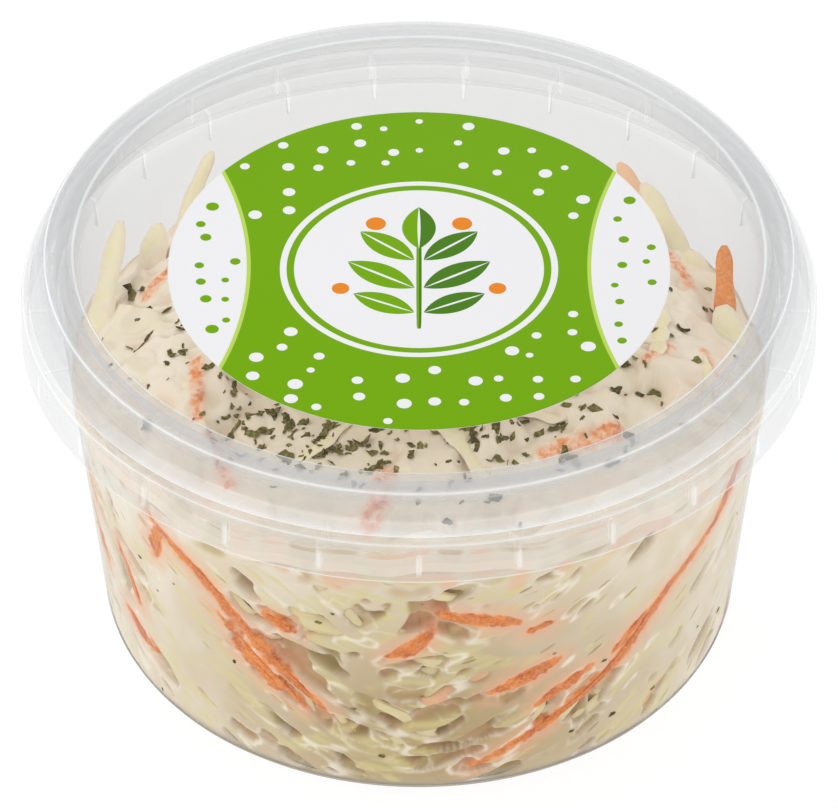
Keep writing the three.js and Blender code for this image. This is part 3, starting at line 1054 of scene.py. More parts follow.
scatter = {
    "cabbage": {
        "count": 60, "width": (1.4, 3.6), "reach": (3, 8), "sink": (-0.25, 0.0), "front": 0, "seed": 5,
    },
    "carrot": {
        "count": 30, "width": (2.2, 3.6), "reach": (4, 11), "sink": (0.1, 0.3), "front": 68, "seed": 6,
    },
    "deep": {
        "count": 190, "width": (1.6, 3.8), "reach": (3, 8), "sink": (0.5, 1.3), "front": 0, "seed": 7,
    },
}


def scatteredPaths(kind):
    settings = scatter[kind]
    random = np.random.default_rng(settings["seed"])
    rows = []
    for index in range(settings["count"]):
        degrees = -180 + 360 * (index + random.random()) / settings["count"]
        height = random.uniform(5, 48)
        reach = random.uniform(*settings["reach"])
        down = np.sign(degrees) * min(abs(degrees) / 14, 1)
        slope = flow["slope"] * down + random.normal(0, 0.45)
        sway = random.normal(0, 0.9)
        half = reach * math.degrees(1 / unroll)
        width = random.uniform(*settings["width"])
        sink = random.uniform(*settings["sink"])
        if abs(degrees) < settings["front"]:
            continue
        path = [
            (degrees - half, height - slope * reach),
            (degrees, height + sway),
            (degrees + half, height + slope * reach),
        ]
        rows.append({"path": path, "width": width, "sink": sink})
    return rows


wallRows = {
    "carrot": [{"sink": 0.12, **row} for row in wallCarrots] + scatteredPaths("carrot"),
    "cabbage": [{"sink": -0.26, **row} for row in wallCabbage] + scatteredPaths("cabbage"),
    "deep": scatteredPaths("deep"),
}


side = {
    # name, first and last angle, columns, row step
    "sectors": [
        ("frontLeftDressing", -90, 0, 360, 0.235),
        ("frontRightDressing", 0, 90, 360, 0.235),
        ("backDressing", 90, 270, 400, 0.4),
    ],
    "baseRows": 7,
    "capRows": 6,
    "capDrop": 1.0,
    "capInset": 3.0,
    "capHeight": 44.0,
    "axisHeight": 30.0,  # the cut faces stay under the cap
}

wallLeaf = {
    "count": 760,
    "seed": 77,
    "reach": (2.4, 8.5),  # half length
    "narrow": (0.2, 0.5),
    "depth": (0.05, 1.3),
    "slope": (0.25, 0.8),
    "turn": 0.5,
    "ripples": [(0.1, 3), (0.08, 6), (0.05, 13)],
    "behind": 2.8,
}

film = {  # the dressing that touches the wall, and what breaks it
    "holes": 0.9,
    "broad": 0.3,
    "fine": 0.12,
    "closed": 0.33,
    "hollow": (-0.03, 0.1),
    "noLeavesAbove": (44, 50),
    "patch": 4.5,  # broad soft patches behind the collar and by the wall, of pink and of painted shade
    "pinkPatch": (0.02, 0.25),
    "shadePatch": (-0.05, -0.28),
    "warmShade": (1.15, 4, 50, 14, 30),  # painted shade, darker and warmer at the lower front: strength, then middle and spread round, in degrees, and up
}

# Where the film leaves pockets, or closes them: degrees, height, spread round, spread up, strength
pocketZones = [
    (0, 20, 22, 14, 0.32),
    (0, 38, 16, 5, 0.26),
    (30, 15, 14, 9, 0.14),
    (-27, 30, 9, 9, 0.25),
    (-40, 14, 16, 12, -0.08),
    (-52, 9, 8, 6, 0.12),
    (-62, 24, 10, 12, 0.03),
    (66, 22, 12, 18, 0.12),
    (12, 50, 14, 6, 0.1),
    (48, 35, 26, 15, -0.3),
    (-46, 34, 12, 10, -0.3),
]


def sideStations(rowStep):  # radius, height, inward direction, and share of the way up the straight wall
    into = slaw["intoWall"]
    footRadius = cornerCentre - tub["footWidth"] - tub["wall"]
    rows = [
        (footRadius * i / side["baseRows"], floorTop - into, 0, 1, 0)
        for i in range(side["baseRows"] + 1)
    ]
    radius = tub["cornerRadius"] - tub["wall"] + into
    arcRows = int(radius * math.pi / 2 / rowStep)
    for index in range(arcRows + 1):
        turn = math.pi / 2 * index / arcRows
        rows.append((
            cornerCentre + radius * math.sin(turn), tub["cornerRadius"] - radius * math.cos(turn),
            -math.sin(turn), math.cos(turn), 0,
        ))
    wallRowCount = int((slaw["edgeHeight"] - tub["cornerRadius"]) / rowStep)
    rows += [(0, 0, -1, 0, index / wallRowCount) for index in range(1, wallRowCount + 1)]
    rows += [(0, 0, 0, 0, 1 + index / side["capRows"]) for index in range(side["capRows"] + 1)]
    return np.array(rows)


def footprint(degrees, heights, row, spread):  # the places near a shred, and their distance to its outline
    knots = np.array([(math.radians(a) * unroll, z) for a, z in row["path"]])
    path = smoothPath(knots, 3 + int(np.linalg.norm(np.diff(knots, axis=0), axis=1).sum() / 0.5))
    arc = np.radians(degrees) * unroll
    turnLength = math.tau * unroll
    middle = path[:, 0].mean()
    arc = middle + (arc - middle + turnLength / 2) % turnLength - turnLength / 2
    reach = row["width"] / 2 + spread
    near = (
        (arc > path[:, 0].min() - reach) & (arc < path[:, 0].max() + reach)
        & (heights > path[:, 1].min() - reach) & (heights < path[:, 1].max() + reach)
    )
    found = np.nonzero(near)[0]
    away = np.hypot(arc[found, None] - path[None, :, 0], heights[found, None] - path[None, :, 1])
    nearest = away.argmin(1)
    half = row["width"] / 2 * shredWidth(nearest / (len(path) - 1))
    return found, away[np.arange(len(found)), nearest] - half


def shredWidth(share, tip=0.4):
    return tip + (1 - tip) * np.sin(np.pi * np.clip(share, 0, 1)) ** 0.6


def makeWallLeaves():
    random = np.random.default_rng(wallLeaf["seed"])
    leaves = []
    for index in range(wallLeaf["count"]):
        arc = unroll * (-math.pi + math.tau * (index + random.random()) / wallLeaf["count"])
        reach = random.uniform(*wallLeaf["reach"])
        drift = math.atan(flow["slope"] * arc / math.sqrt(arc ** 2 + flow["round"]))
        leaves.append({
            "x": arc, "y": random.uniform(2, 52), "reach": reach,
            "heading": drift + random.normal(0, wallLeaf["turn"]),
            "across": reach * random.uniform(*wallLeaf["narrow"]),
            "depth": random.uniform(*wallLeaf["depth"]),
            "slope": random.choice((-0.5, 1, 1, 1)) * random.uniform(*wallLeaf["slope"]),
            "bend": random.normal(0, 0.02), "tint": max(0, random.normal(0.2, 0.45)),
            "wave": random.uniform(0, math.tau, 3),
        })
    return leaves


def leafDepths(arc, level):  # the nearest to the wall of the leaves behind each place
    depth = np.full(len(arc), wallLeaf["behind"])
    tint = np.zeros(len(arc))
    lit = np.zeros(len(arc))
    for leaf in wallLeaves:
        room = leaf["reach"] * 1.2
        near = np.nonzero((np.abs(arc - leaf["x"]) < room) & (np.abs(level - leaf["y"]) < room))[0]
        along, across = alongAndAcross(leaf, arc[near], level[near])
        across = across - leaf["bend"] * along ** 2
        inside = insideLeaf(leaf, along, across, wallLeaf["ripples"])
        back = leaf["depth"] + abs(leaf["slope"]) * (across * np.sign(leaf["slope"]) + leaf["across"])
        back = back + 1.1 * smooth(0.45, 0, inside) ** 2
        nearer = (inside > 0) & (back < depth[near])
        depth[near[nearer]] = back[nearer]
        tint[near[nearer]] = leaf["tint"]
        # painted highlight along each leaf's edge where it comes near the wall
        lit[near[nearer]] = smooth(0.55, 0.2, inside[nearer]) * smooth(1.6, 0.6, back[nearer])
    return depth, tint, lit


def softPatches(places, share=1):  # how pink each place is, and how much painted shade it gets
    patch = noiseField(places, film["patch"], 21) * share
    return 0.9 * smooth(*film["pinkPatch"], patch), 0.8 * smooth(*film["shadePatch"], patch)


def filmField(angle, level, broad, fineStreak, places):  # above 0 the film is broken
    holes = np.maximum(
        noiseField(places * (1.2, 1.2, 0.6), 1.0, 3), noiseField(places * (1.5, 1.5, 0.9), 1.0, 13) - 0.05
    )
    field = film["holes"] * holes + film["broad"] * broad + film["fine"] * fineStreak - film["closed"]
    for zoneAngle, zoneHeight, aroundSpread, upSpread, strength in pocketZones:
        far = (wrapped(angle - zoneAngle) / aroundSpread) ** 2 + ((level - zoneHeight) / upSpread) ** 2
        field = field + strength * np.exp(-far)
    return field - 0.4 * smooth(*film["noLeavesAbove"], level)


def filmDepth(angle, level, outer, streaks):  # how far the dressing keeps from the wall, and its marks
    streak = noiseField(streaks, 1.0, 1)
    fineStreak = noiseField(streaks, 0.45, 2)
    broad = noiseField(outer, 11.0, 4)
    crumb = noiseField(outer, 0.9, 5)
    field = filmField(angle, level, broad, fineStreak, streaks)
    hollow = smooth(*film["hollow"], field)
    leafDepth, leafTint, leafLit = leafDepths(np.radians(wrapped(angle)) * unroll, level)
    leafDepth = np.maximum(0.25 + 0.9 * leafDepth + 0.06 * fineStreak + 0.03 * crumb, 0.2)
    depth = hollow * leafDepth + (1 - hollow) * (0.04 + 0.05 * crumb)
    edgeLine = 0.9 + 1.2 * broad + 1.0 * streak + 3.4 * np.exp(-((angle - 40) / 15) ** 2)
    under = smooth(0.3, -0.1, level - edgeLine)
    depth = np.maximum(depth, under * 1.6)
    glow, shadePatch = softPatches(outer, smooth(43, 48, level))
    tint = leafTint * hollow * 0.7
    bare = np.zeros(len(angle))
    ragged = 0.5 * noiseField(outer, 1.1, 15) + 0.3 * crumb
    for shred in wallRows["cabbage"]:
        found, away = footprint(angle, level, shred, 2.0)
        pressed = smooth(0.45, -0.4, away)
        lying = 0.12 + 0.2 * np.abs(streak[found]) + 0.5 * smooth(-0.5, 0.1, away)
        depth[found] = depth[found] * (1 - pressed) + np.minimum(depth[found], lying) * pressed
        tint[found] = np.maximum(tint[found], pressed * (0.25 + 0.7 * smooth(-0.3, 0.35, fineStreak[found])))
    for shred in wallRows["carrot"]:
        found, away = footprint(angle, level, shred, 4.0)
        away = away + 0.6 * ragged[found]
        pressed = smooth(0.15, -0.3, away)
        depth[found] = depth[found] * (1 - pressed) + 0.22 * pressed
        bare[found] = np.maximum(bare[found], smooth(0.75, -0.65, away))
        glow[found] = np.maximum(glow[found], smooth(3.6, -0.1, away + 1.2 * ragged[found]))
    # painted shade: the deeper the dressing lies behind the wall, the more of the darker pocket colour it
    # gets
    pocketShade = smooth(0.15, 1.5, depth) * (1 - 0.6 * under)
    strength, middle, around, height, up = film["warmShade"]
    # painted highlight along the edges of the holes in the film
    holeHighlight = smooth(-0.1, -0.04, field) * smooth(0.04, -0.01, field) * smooth(-0.45, 0.2, broad)
    return depth, {
        "pocketShade": np.maximum(pocketShade, shadePatch),
        "rim": np.maximum(leafLit * hollow, holeHighlight),
        "glow": glow,
        "tint": tint,
        "slots": (1 - hollow) * smooth(3, 7, level) * smooth(50, 44, level) * smooth(-0.6, -0.3, field),
        "bare": bare,
        # painted shade at the lower front
        "warmShade": strength * np.exp(-(wrapped(angle - middle) / around) ** 2 - ((level - height) / up) ** 2),
    }


def softened(sheet):  # blurred by a cell or so, alike on both sides of the seams
    sheet[1:-1] = (sheet[:-2] + 4 * sheet[1:-1] + sheet[2:]) / 6
    sheet[:, 2:-2] = (sheet[:, 1:-3] + 4 * sheet[:, 2:-2] + sheet[:, 3:-1]) / 6
    return sheet


wallLeaves = makeWallLeaves()


def makeSide(name, first, last, sectorColumns, rowStep):  # a sector, closed by cut faces down to the axis
    stations = sideStations(rowStep)
    columns = sectorColumns + 2
    pick()
    bpy.ops.mesh.primitive_grid_add(
        x_subdivisions=columns, y_subdivisions=len(stations) - 1, size=2, location=(0, 0, 0)
    )
    body = bpy.context.object
    nameThing(body, name)
    grid = (readPlaces(body) * mm + 1) / 2
    column = np.rint(grid[:, 0] * columns).astype(int)
    row = np.rint(grid[:, 1] * (len(stations) - 1)).astype(int)
    degrees = first + (last - first) * (np.clip(column, 1, columns - 1) - 1) / sectorColumns
    onAxis = (column == 0) | (column == columns)
    radius, height, inRadius, inHeight, share = stations[row].T
    edge = rimHeight(degrees)
    straight = tub["cornerRadius"] + (edge - tub["cornerRadius"]) * np.minimum(share, 1)
    height = np.where(share > 0, straight, height)
    radius = np.where(share > 0, filmAt(height), radius)
    cap = np.clip(share - 1, 0, 1)
    isCap = (share >= 1) & (inRadius == 0)
    height = np.where(isCap, (edge - side["capDrop"]) * (1 - cap) + side["capHeight"] * cap, height)
    radius = np.where(isCap, (radius - side["capInset"]) * (1 - cap), radius)
    height = np.where(onAxis, np.minimum(height, side["axisHeight"]), height)
    places = roundWall(degrees, height, np.where(onAxis, 0, radius))
    live = np.nonzero((row > side["baseRows"]) & ~isCap & (share < 1) & ~onAxis)[0]
    streaks = streakPlaces(degrees, height)
    depth, marks = filmDepth(degrees[live], height[live], places[live], streaks[live])
    sheet = np.zeros((len(stations), columns + 1))
    sheet[row[live], column[live]] = depth * smooth(1.0, 0.97, share[live]) ** 0.5
    depth = softened(softened(softened(sheet)))[row[live], column[live]]
    places[live] += roundWall(degrees, inHeight, inRadius)[live] * depth[:, None]
    writePlaces(body, places)
    for title, values in marks.items():
        sheet[:] = 0
        sheet[row[live], column[live]] = values
        writeAttribute(body, title, softened(sheet)[row, column])
    writeAttribute(body, "flow", streaks * mm)
    startEditing(body)
    closeShape(doubles=0.008)
    return body


def makeShredUnit(segments):  # a round bar one long, whose rings are then laid along a path
    pick()
    bpy.ops.mesh.primitive_circle_add(vertices=8, radius=1, fill_type="NGON", location=(0, 0, 0))
    unit = bpy.context.object
    startEditing(unit)
    for _ in range(segments):
        bpy.ops.mesh.extrude_region_move(TRANSFORM_OT_translate={"value": (0, 0, 1 / segments)})
    closeShape()
    unit["segments"] = segments
    return unit


def layShred(unit, spine, aside, up, width, thickness, square=0.75):
    local = readPlaces(unit) * mm
    ring = np.rint(local[:, 2] * unit["segments"]).astype(int)
    across = np.sign(local[:, 0]) * np.abs(local[:, 0]) ** square
    over = np.sign(local[:, 1]) * np.abs(local[:, 1]) ** square
    places = (
        spine[ring]
        + aside[ring] * (across * width[ring] / 2)[:, None]
        + up[ring] * (over * thickness[ring] / 2)[:, None]
    )
    copy = copyOf(unit, "shred", places)
    share = local[:, 2]
    ends = np.minimum(np.minimum(share, 1 - share) * 9, 1)
    writeAttribute(copy, "core", (1 - np.abs(across)) * ends)
    return copy


def normalized(vectors):
    return vectors / np.maximum(np.linalg.norm(vectors, axis=-1, keepdims=True), 1e-9)


def wallShred(unit, row, random, thickness):
    count = unit["segments"] + 1
    share = np.linspace(0, 1, count)
    path = smoothPath(row["path"], count)
    level = np.clip(path[:, 1], 2.6, rimHeight(path[:, 0]) - 1.5)
    dive = 1.1 * (1 - smooth(0, 0.1, share) * smooth(1, 0.9, share))
    wave = 0.1 * np.sin(share * random.uniform(6, 14) + random.uniform(0, 6))
    depth = row["sink"] + dive + wave
    ragged = 1 + 0.12 * np.sin(share * random.uniform(9, 17) + random.uniform(0, 6))
    width = row["width"] * shredWidth(share) * ragged
    radius = filmAt(level) - np.maximum(depth, 0) - thickness / 2
    spine = roundWall(path[:, 0], level, radius)
    way = normalized(np.gradient(spine, axis=0))
    out = normalized(roundWall(path[:, 0], np.full(count, -tub["lean"]), np.ones(count)))
    across = normalized(np.cross(way, out))
    return layShred(unit, spine, across, out, width, np.full(count, float(thickness)), square=0.6)


def markShred(shred, shade, coat=0.0):
    count = len(shred.data.vertices)
    writeAttribute(shred, "shade", np.full(count, shade))
    writeAttribute(shred, "coat", np.full(count, coat))


def topShred(unit, row, random):
    count = unit["segments"] + 1
    share = np.linspace(0, 1, count)
    heading = row["heading"] + row["turn"] * (share - 0.5)
    step = row["length"] / (count - 1)
    x = np.concatenate([[0], np.cumsum(np.cos(heading[:-1]) * step)])
    y = np.concatenate([[0], np.cumsum(np.sin(heading[:-1]) * step)])
    x = row["x"] + x - x.mean()
    y = row["y"] + y - y.mean()
    radius = np.hypot(x, y)
    room = wallAt(slaw["edgeHeight"], tub["wall"]) - 0.6
    pull = np.minimum(room / np.maximum(radius, 1e-6), 1)
    x, y = x * pull, y * pull
    z = dressingTop(x, y) + row["bow"] * np.sin(np.pi * share) + row["raise"]
    spine = np.stack([x, y, z], 1)
    way = normalized(np.gradient(spine, axis=0))
    up = np.tile((0.0, 0.0, 1.0), (count, 1))
    across = normalized(np.cross(way, up))
    up = np.cross(across, way)
    roll = row["roll"] + row["twist"] * (share - 0.5)
    across, up = (
        across * np.cos(roll)[:, None] + up * np.sin(roll)[:, None],
        up * np.cos(roll)[:, None] - across * np.sin(roll)[:, None],
    )
    ragged = 1 + 0.2 * np.sin(share * random.uniform(9, 20) + random.uniform(0, 6))
    width = row["width"] * shredWidth(share, 0.5) * ragged
    thickness = row["thickness"] * (0.75 + 0.25 * np.sin(np.pi * share))
    return layShred(unit, spine, across, up, width, thickness)


# Shreds that stand against the wall above the heap: foot, tip, width, thickness, way that they face and coat
standing = {
    "cabbage": [
        ((-48.6, 1, 45), (-44.4, 17, 60.3), 4.2, 0.8, -0.5, 0.0),
        ((-40.5, 12, 49), (-39.0, 22, 55.6), 5.2, 0.9, -0.4, 0.0),
        ((-36, 26, 49), (-31, 37.5, 57), 2.7, 0.8, -0.3, 0.0),
        ((40, 22, 46), (33.5, 33, 54.5), 4.0, 0.8, 0.3, 0.0),
        ((48, -2, 42), (45, 6, 53), 6.0, 0.9, 0.3, 0.0),
        ((43, 14, 45), (40, 20, 52), 5.0, 0.9, 0.3, 0.0),
    ],
    "carrot": [
        ((45.6, 4, 47), (45.4, 13, 58.8), 3.3, 1.2, 0.2, 0.15),
        ((36, 30, 46), (30, 38.5, 54), 3.0, 1.0, 0.3, 0.85),
    ],
}


def standingShred(unit, foot, tip, width, thickness, faces):
    count = unit["segments"] + 1
    share = np.linspace(0, 1, count)
    foot, tip = np.array(foot, float), np.array(tip, float)
    spine = foot + (tip - foot) * share[:, None]
    spine[:, 2] += 1.2 * np.sin(np.pi * share)
    way = normalized(np.gradient(spine, axis=0))
    facing = np.tile((math.sin(faces), -math.cos(faces), 0.3), (count, 1))
    across = normalized(np.cross(way, facing))
    out = np.cross(across, way)
    ragged = 1 + 0.09 * np.sin(13 * share + width)
    taper = (1 - 0.35 * share) * np.sqrt(1.2 - share ** 10)
    return layShred(unit, spine, across, out, width * ragged * taper, np.full(count, thickness))


def makeTop():
    pick()
    count = topping["divisions"]
    bpy.ops.mesh.primitive_grid_add(x_subdivisions=count, y_subdivisions=count, size=2, location=(0, 0, 0))
    body = bpy.context.object
    nameThing(body, "topDressing")
    grid = readPlaces(body) * mm
    x = grid[:, 0] * np.sqrt(1 - grid[:, 1] ** 2 / 2)  # the square's edge goes onto a circle
    y = grid[:, 1] * np.sqrt(1 - grid[:, 0] ** 2 / 2)
    radius = np.hypot(x, y)
    degrees = np.degrees(np.arctan2(x, -y))
    edge = rimHeight(degrees)
    room = filmAt(edge) - 0.02
    x, y = x * room, y * room
    z, tint, bare = leafHeights(x, y)
    z = z - rimDrop(degrees) * radius ** 3
    rows = count + 1
    order = np.lexsort((grid[:, 0], grid[:, 1]))
    sheet = z[order].reshape(rows, rows)
    for field in (sheet, sheet[::-1], sheet.T, sheet.T[::-1]):  # no step steeper than this
        for index in range(1, rows):
            field[index] = np.minimum(field[index], field[index - 1] + topping["steepest"])
    z[order] = sheet.ravel()
    nearRim = smooth(0.93, 0.995, radius)
    z = z * (1 - nearRim) + (edge + 0.1) * nearRim
    room = filmAt(z) - 0.02
    pull = np.minimum(room / np.maximum(np.hypot(x, y), 1e-6), 1)
    writePlaces(body, np.stack([x * pull, y * pull, z], 1))
    sheet = z[order].reshape(rows, rows)
    padded = np.pad(sheet, 5, mode="edge")
    shifts = range(0, 11, 2)
    broad = sum(padded[i:i + rows, j:j + rows] for i in shifts for j in shifts) / len(shifts) ** 2
    crevice = np.empty(len(z))
    crevice[order] = (broad - sheet).ravel()
    # painted shade in the creases, where the surface lies below its surroundings
    writeAttribute(body, "pocketShade", smooth(0.03, 0.55, crevice) * (1 - nearRim))
    writeAttribute(body, "tint", tint)
    writeAttribute(body, "bare", 0.72 * smooth(-0.9, 1.3, bare))
    startEditing(body)
    bpy.ops.mesh.select_all(action="DESELECT")
    bpy.ops.mesh.select_mode(type="EDGE")
    bpy.ops.mesh.select_non_manifold()
    bpy.ops.mesh.extrude_edges_move(TRANSFORM_OT_translate={"value": (0, 0, -topping["skirt"] * mm)})
    bpy.ops.mesh.edge_face_add()
    closeShape()
    applyModifier(body, "SMOOTH", factor=0.5, iterations=6)
    return body


barUnit = makeShredUnit(14)
sideDressings = [makeSide(*sector) for sector in side["sectors"]]
print("side dressing shaped")
topDressing = makeTop()
print("top dressing shaped")


def surfaceUnder(x, y):
    _, place, normal, _ = topDressing.ray_cast((x * mm, y * mm, 0.07), (0, 0, -1))
    return np.array(place) / mm, np.array(normal)


def dressingTop(x, y):
    return np.array([surfaceUnder(a, b)[0][2] for a, b in zip(x, y)])


loose = {
    "seed": 31,
    "onTop": 16,
    "thickness": 0.8,
    "carrotEvery": 7,  # of the shreds behind the dressing
    "coreShare": 0.55,  # of a carrot's drawn width
    "coreSink": 0.1,
}


def layShreds():
    random = np.random.default_rng(loose["seed"])
    shreds = {"cabbage": [], "carrot": []}

    def add(kind, shred, shade, coat=0.0):
        markShred(shred, shade, coat)
        shreds[kind].append(shred)

    for row in wallRows["carrot"]:  # thin cores under the dressing's own colour
        core = {**row, "width": row["width"] * loose["coreShare"], "sink": loose["coreSink"]}
        add("carrot", wallShred(barUnit, core, random, loose["thickness"]), random.random())
    for index, row in enumerate(wallRows["deep"]):
        kind = "cabbage" if index % loose["carrotEvery"] else "carrot"
        add(kind, wallShred(barUnit, row, random, loose["thickness"]), random.random(), 0.6)
    for kind, shade in (("cabbage", 0.1), ("carrot", 0.0)):
        for *shape, coat in standing[kind]:
            add(kind, standingShred(barUnit, *shape), shade, coat)
    for _ in range(loose["onTop"]):
        angle = random.uniform(0, math.tau)
        radius = 46 * math.sqrt(random.uniform(0.1, 1))
        row = {
            "x": radius * math.cos(angle), "y": radius * math.sin(angle),
            "heading": random.uniform(0, math.pi), "turn": random.normal(0, 0.8),
            "length": random.uniform(6, 14), "width": random.uniform(1.6, 3.6),
            "thickness": random.uniform(0.6, 1.0), "bow": random.uniform(0.0, 0.6),
            "roll": random.normal(0, 0.12), "twist": random.normal(0, 0.3),
            "raise": random.uniform(-0.5, 0.0),
        }
        add("cabbage", topShred(barUnit, row, random), random.uniform(0, 0.6))
    return joinAll("cabbageShreds", shreds["cabbage"]), joinAll("carrotShreds", shreds["carrot"])


def keepInside(piece, into):
    places = readPlaces(piece)
    radius = np.hypot(places[:, 0], places[:, 1])
    room = filmAt(np.maximum(places[:, 2], 1.0)) + into
    ringHeight, ringRadius = slaw["underRing"]
    room = np.where(places[:, 2] > ringHeight, np.minimum(room, ringRadius), room)
    scale = np.minimum(room / np.maximum(radius, 1e-6), 1)
    places[:, 0] *= scale
    places[:, 1] *= scale
    places[:, 2] = np.clip(places[:, 2], 1.3, slaw["highest"])
    writePlaces(piece, places)


cabbage, carrots = layShreds()
keepInside(cabbage, 0.1)
keepInside(carrots, 0.14)
bpy.data.objects.remove(barUnit)


herbs = {
    # x, y, spread and count on the heap
    "clusters": [
        (-14, -28.5, 4.2, 100), (-25, -23, 4, 42), (-32, -11, 5, 24), (-37, -3, 4, 12), (3, -30.5, 6, 56),
        (15, -27, 5, 52), (27, -20, 6, 22), (37, -4, 4, 9), (42, 7, 4, 6), (-43, 8, 3, 4), (0, 0, 22, 70),
        (0, 36, 12, 8),
    ],
    "onWall": 38,
    "seed": 51,
    "thickness": 0.1,
    "small": (0.4, 1.0),  # half length
    "large": (1.0, 1.7),
    "smallShare": 0.6,
    "wallSize": (0.25, 0.75),
}


def makeFlakeUnit(outline, thickness):
    pick()
    bpy.ops.mesh.primitive_circle_add(vertices=len(outline), radius=1, fill_type="TRIFAN", location=(0, 0, 0))
    unit = bpy.context.object
    startEditing(unit)
    bpy.ops.mesh.extrude_region_move(TRANSFORM_OT_translate={"value": (0, 0, thickness)})
    closeShape()
    places = readPlaces(unit) * mm
    turn = np.arctan2(places[:, 1], places[:, 0]) % math.tau
    which = np.rint(turn / math.tau * len(outline)).astype(int) % len(outline)
    onEdge = np.hypot(places[:, 0], places[:, 1]) > 0.5
    places[onEdge, :2] = np.array(outline)[which][onEdge]
    writePlaces(unit, places / mm)
    return unit


flakeOutlines = [
    [(1.0, 0.05), (0.6, 0.3), (0.3, 0.2), (0.0, 0.42), (-0.4, 0.26), (-1.0, 0.16), (-0.7, -0.16),
     (-0.2, -0.2), (0.2, -0.36), (0.6, -0.14)],
    [(1.0, 0.1), (0.55, 0.5), (0.3, 0.28), (-0.1, 0.6), (-0.5, 0.3), (-0.95, 0.35), (-0.7, -0.2),
     (-0.2, -0.45), (0.25, -0.28), (0.7, -0.35)],
    [(0.9, 0.3), (0.4, 0.5), (0.1, 0.3), (-0.3, 0.45), (-0.9, 0.1), (-0.6, -0.4), (-0.1, -0.4),
     (0.3, -0.6), (0.6, -0.2)],
    [(1.0, -0.3), (0.7, 0.15), (0.2, 0.4), (-0.3, 0.42), (-0.8, 0.15), (-1.0, -0.4), (-0.7, -0.3),
     (-0.3, -0.1), (0.2, -0.12), (0.6, -0.28)],
    [(0.9, 0.3), (0.2, 0.46), (-0.5, 0.52), (-0.9, -0.1), (-0.3, -0.35), (0.4, -0.48), (0.8, -0.1)],
]


def layFlake(unit, place, normal, heading, size, curl, shade):
    local = readPlaces(unit) * mm
    up = Vector(normal).normalized()
    along = Vector((math.cos(heading), math.sin(heading), 0))
    along = (along - up * along.dot(up)).normalized()
    across = up.cross(along)
    height = local[:, 2] + curl * local[:, 0] ** 2 + 0.6 * curl * local[:, 1] ** 2 * np.sign(local[:, 0])
    shape = np.outer(local[:, 0], along) + np.outer(local[:, 1], across) + np.outer(height, up)
    flake = copyOf(unit, "flake", np.array(place) + shape * size)
    writeAttribute(flake, "shade", np.full(len(local), shade))
    return flake


def makeFlakes():
    random = np.random.default_rng(herbs["seed"])
    units = [makeFlakeUnit(outline, herbs["thickness"]) for outline in flakeOutlines]
    flakes = []
    for x, y, spread, count in herbs["clusters"]:
        for _ in range(count):
            placeX, placeY = random.normal(x, spread), random.normal(y, spread)
            far = math.hypot(placeX, placeY)
            if far > 48:
                placeX, placeY = placeX * 47 / far, placeY * 47 / far
            place, normal = surfaceUnder(placeX, placeY)
            size = random.uniform(*herbs["small" if random.random() < herbs["smallShare"] else "large"])
            lean = Vector(normal) + Vector(random.normal(0, 0.3, 3))
            flakes.append(layFlake(
                units[random.integers(len(units))], place + np.array((0, 0, 0.02)), lean,
                random.uniform(0, math.tau), size, random.normal(0.15, 0.3), random.random(),
            ))
    for _ in range(herbs["onWall"]):
        degrees = random.uniform(-180, 180)
        height = random.uniform(6, 50) if abs(degrees) < 70 else random.uniform(6, 42)
        size = random.uniform(*herbs["wallSize"])
        place = roundWall(np.array(degrees), np.array(height), filmAt(height) - 0.02)
        normal = roundWall(np.array(degrees), np.array(-tub["lean"]), np.array(1.0))
        heading = random.uniform(0, math.tau)
        unit = units[random.integers(len(units))]
        flakes.append(layFlake(unit, place, normal, heading, size, 0.0, random.random()))
    whole = joinAll("herbFlakes", flakes)
    for unit in units:
        bpy.data.objects.remove(unit)
    keepInside(whole, 0.16)
    return whole


herbFlakes = makeFlakes()
print("shreds and flakes laid")


foodLook = {
    "cream": (0.9, 0.785, 0.605),
    "creamLight": (0.98, 0.9, 0.76),
    # the next three are the colours of painted shade
    "creamShade": (0.5, 0.36, 0.165),
    "pocketShade": (0.54, 0.4, 0.165),
    "pocketShadePink": (0.6, 0.37, 0.18),
    "pink": (0.92, 0.49, 0.3),
    "paleGreen": (0.77, 0.68, 0.29),
    "slotGreen": (0.62, 0.53, 0.2),
    "slotTan": (0.38, 0.27, 0.11),
    "cabbage": (0.92, 0.84, 0.6),
    "cabbageGreen": (0.82, 0.74, 0.38),
    "cabbageVeil": (0.92, 0.85, 0.67),
    "carrot": (0.88, 0.26, 0.022),
    "carrotDeep": (0.56, 0.1, 0.004),
    "carrotVeil": (0.93, 0.5, 0.27),
    "peach": (0.93, 0.66, 0.44),
    "buriedGreen": (0.8, 0.66, 0.31),
    "herb": (0.055, 0.045, 0.003),
    "herbLight": (0.42, 0.36, 0.12),
}
dressingFinish = {"roughness": 0.4, "shine": 0.25, "bump": 0.25, "bumpDepth": 0.12}
shredFinish = {"roughness": 0.34, "shine": 0.25, "bump": 0.3, "bumpDepth": 0.15}
herbFinish = {"roughness": 0.75, "shine": 0.05, "bump": 0.4, "bumpDepth": 0.1}
carrotLook = {
    "colors": ("carrot", "carrotDeep", "carrotVeil"),
    "under": "peach",  # the colour of those that are buried
    "grit": 0.5,
    "edge": -0.25,
    "coatSize": 7.0,
    "cover": 0.32,
}
cabbageLook = {
    "colors": ("cabbage", "cabbageGreen", "cabbageVeil"),
    "under": "buriedGreen",
    "grit": 0.25,
    "edge": 0.18,
    "coatSize": 5.0,
    "cover": 0.46,
}


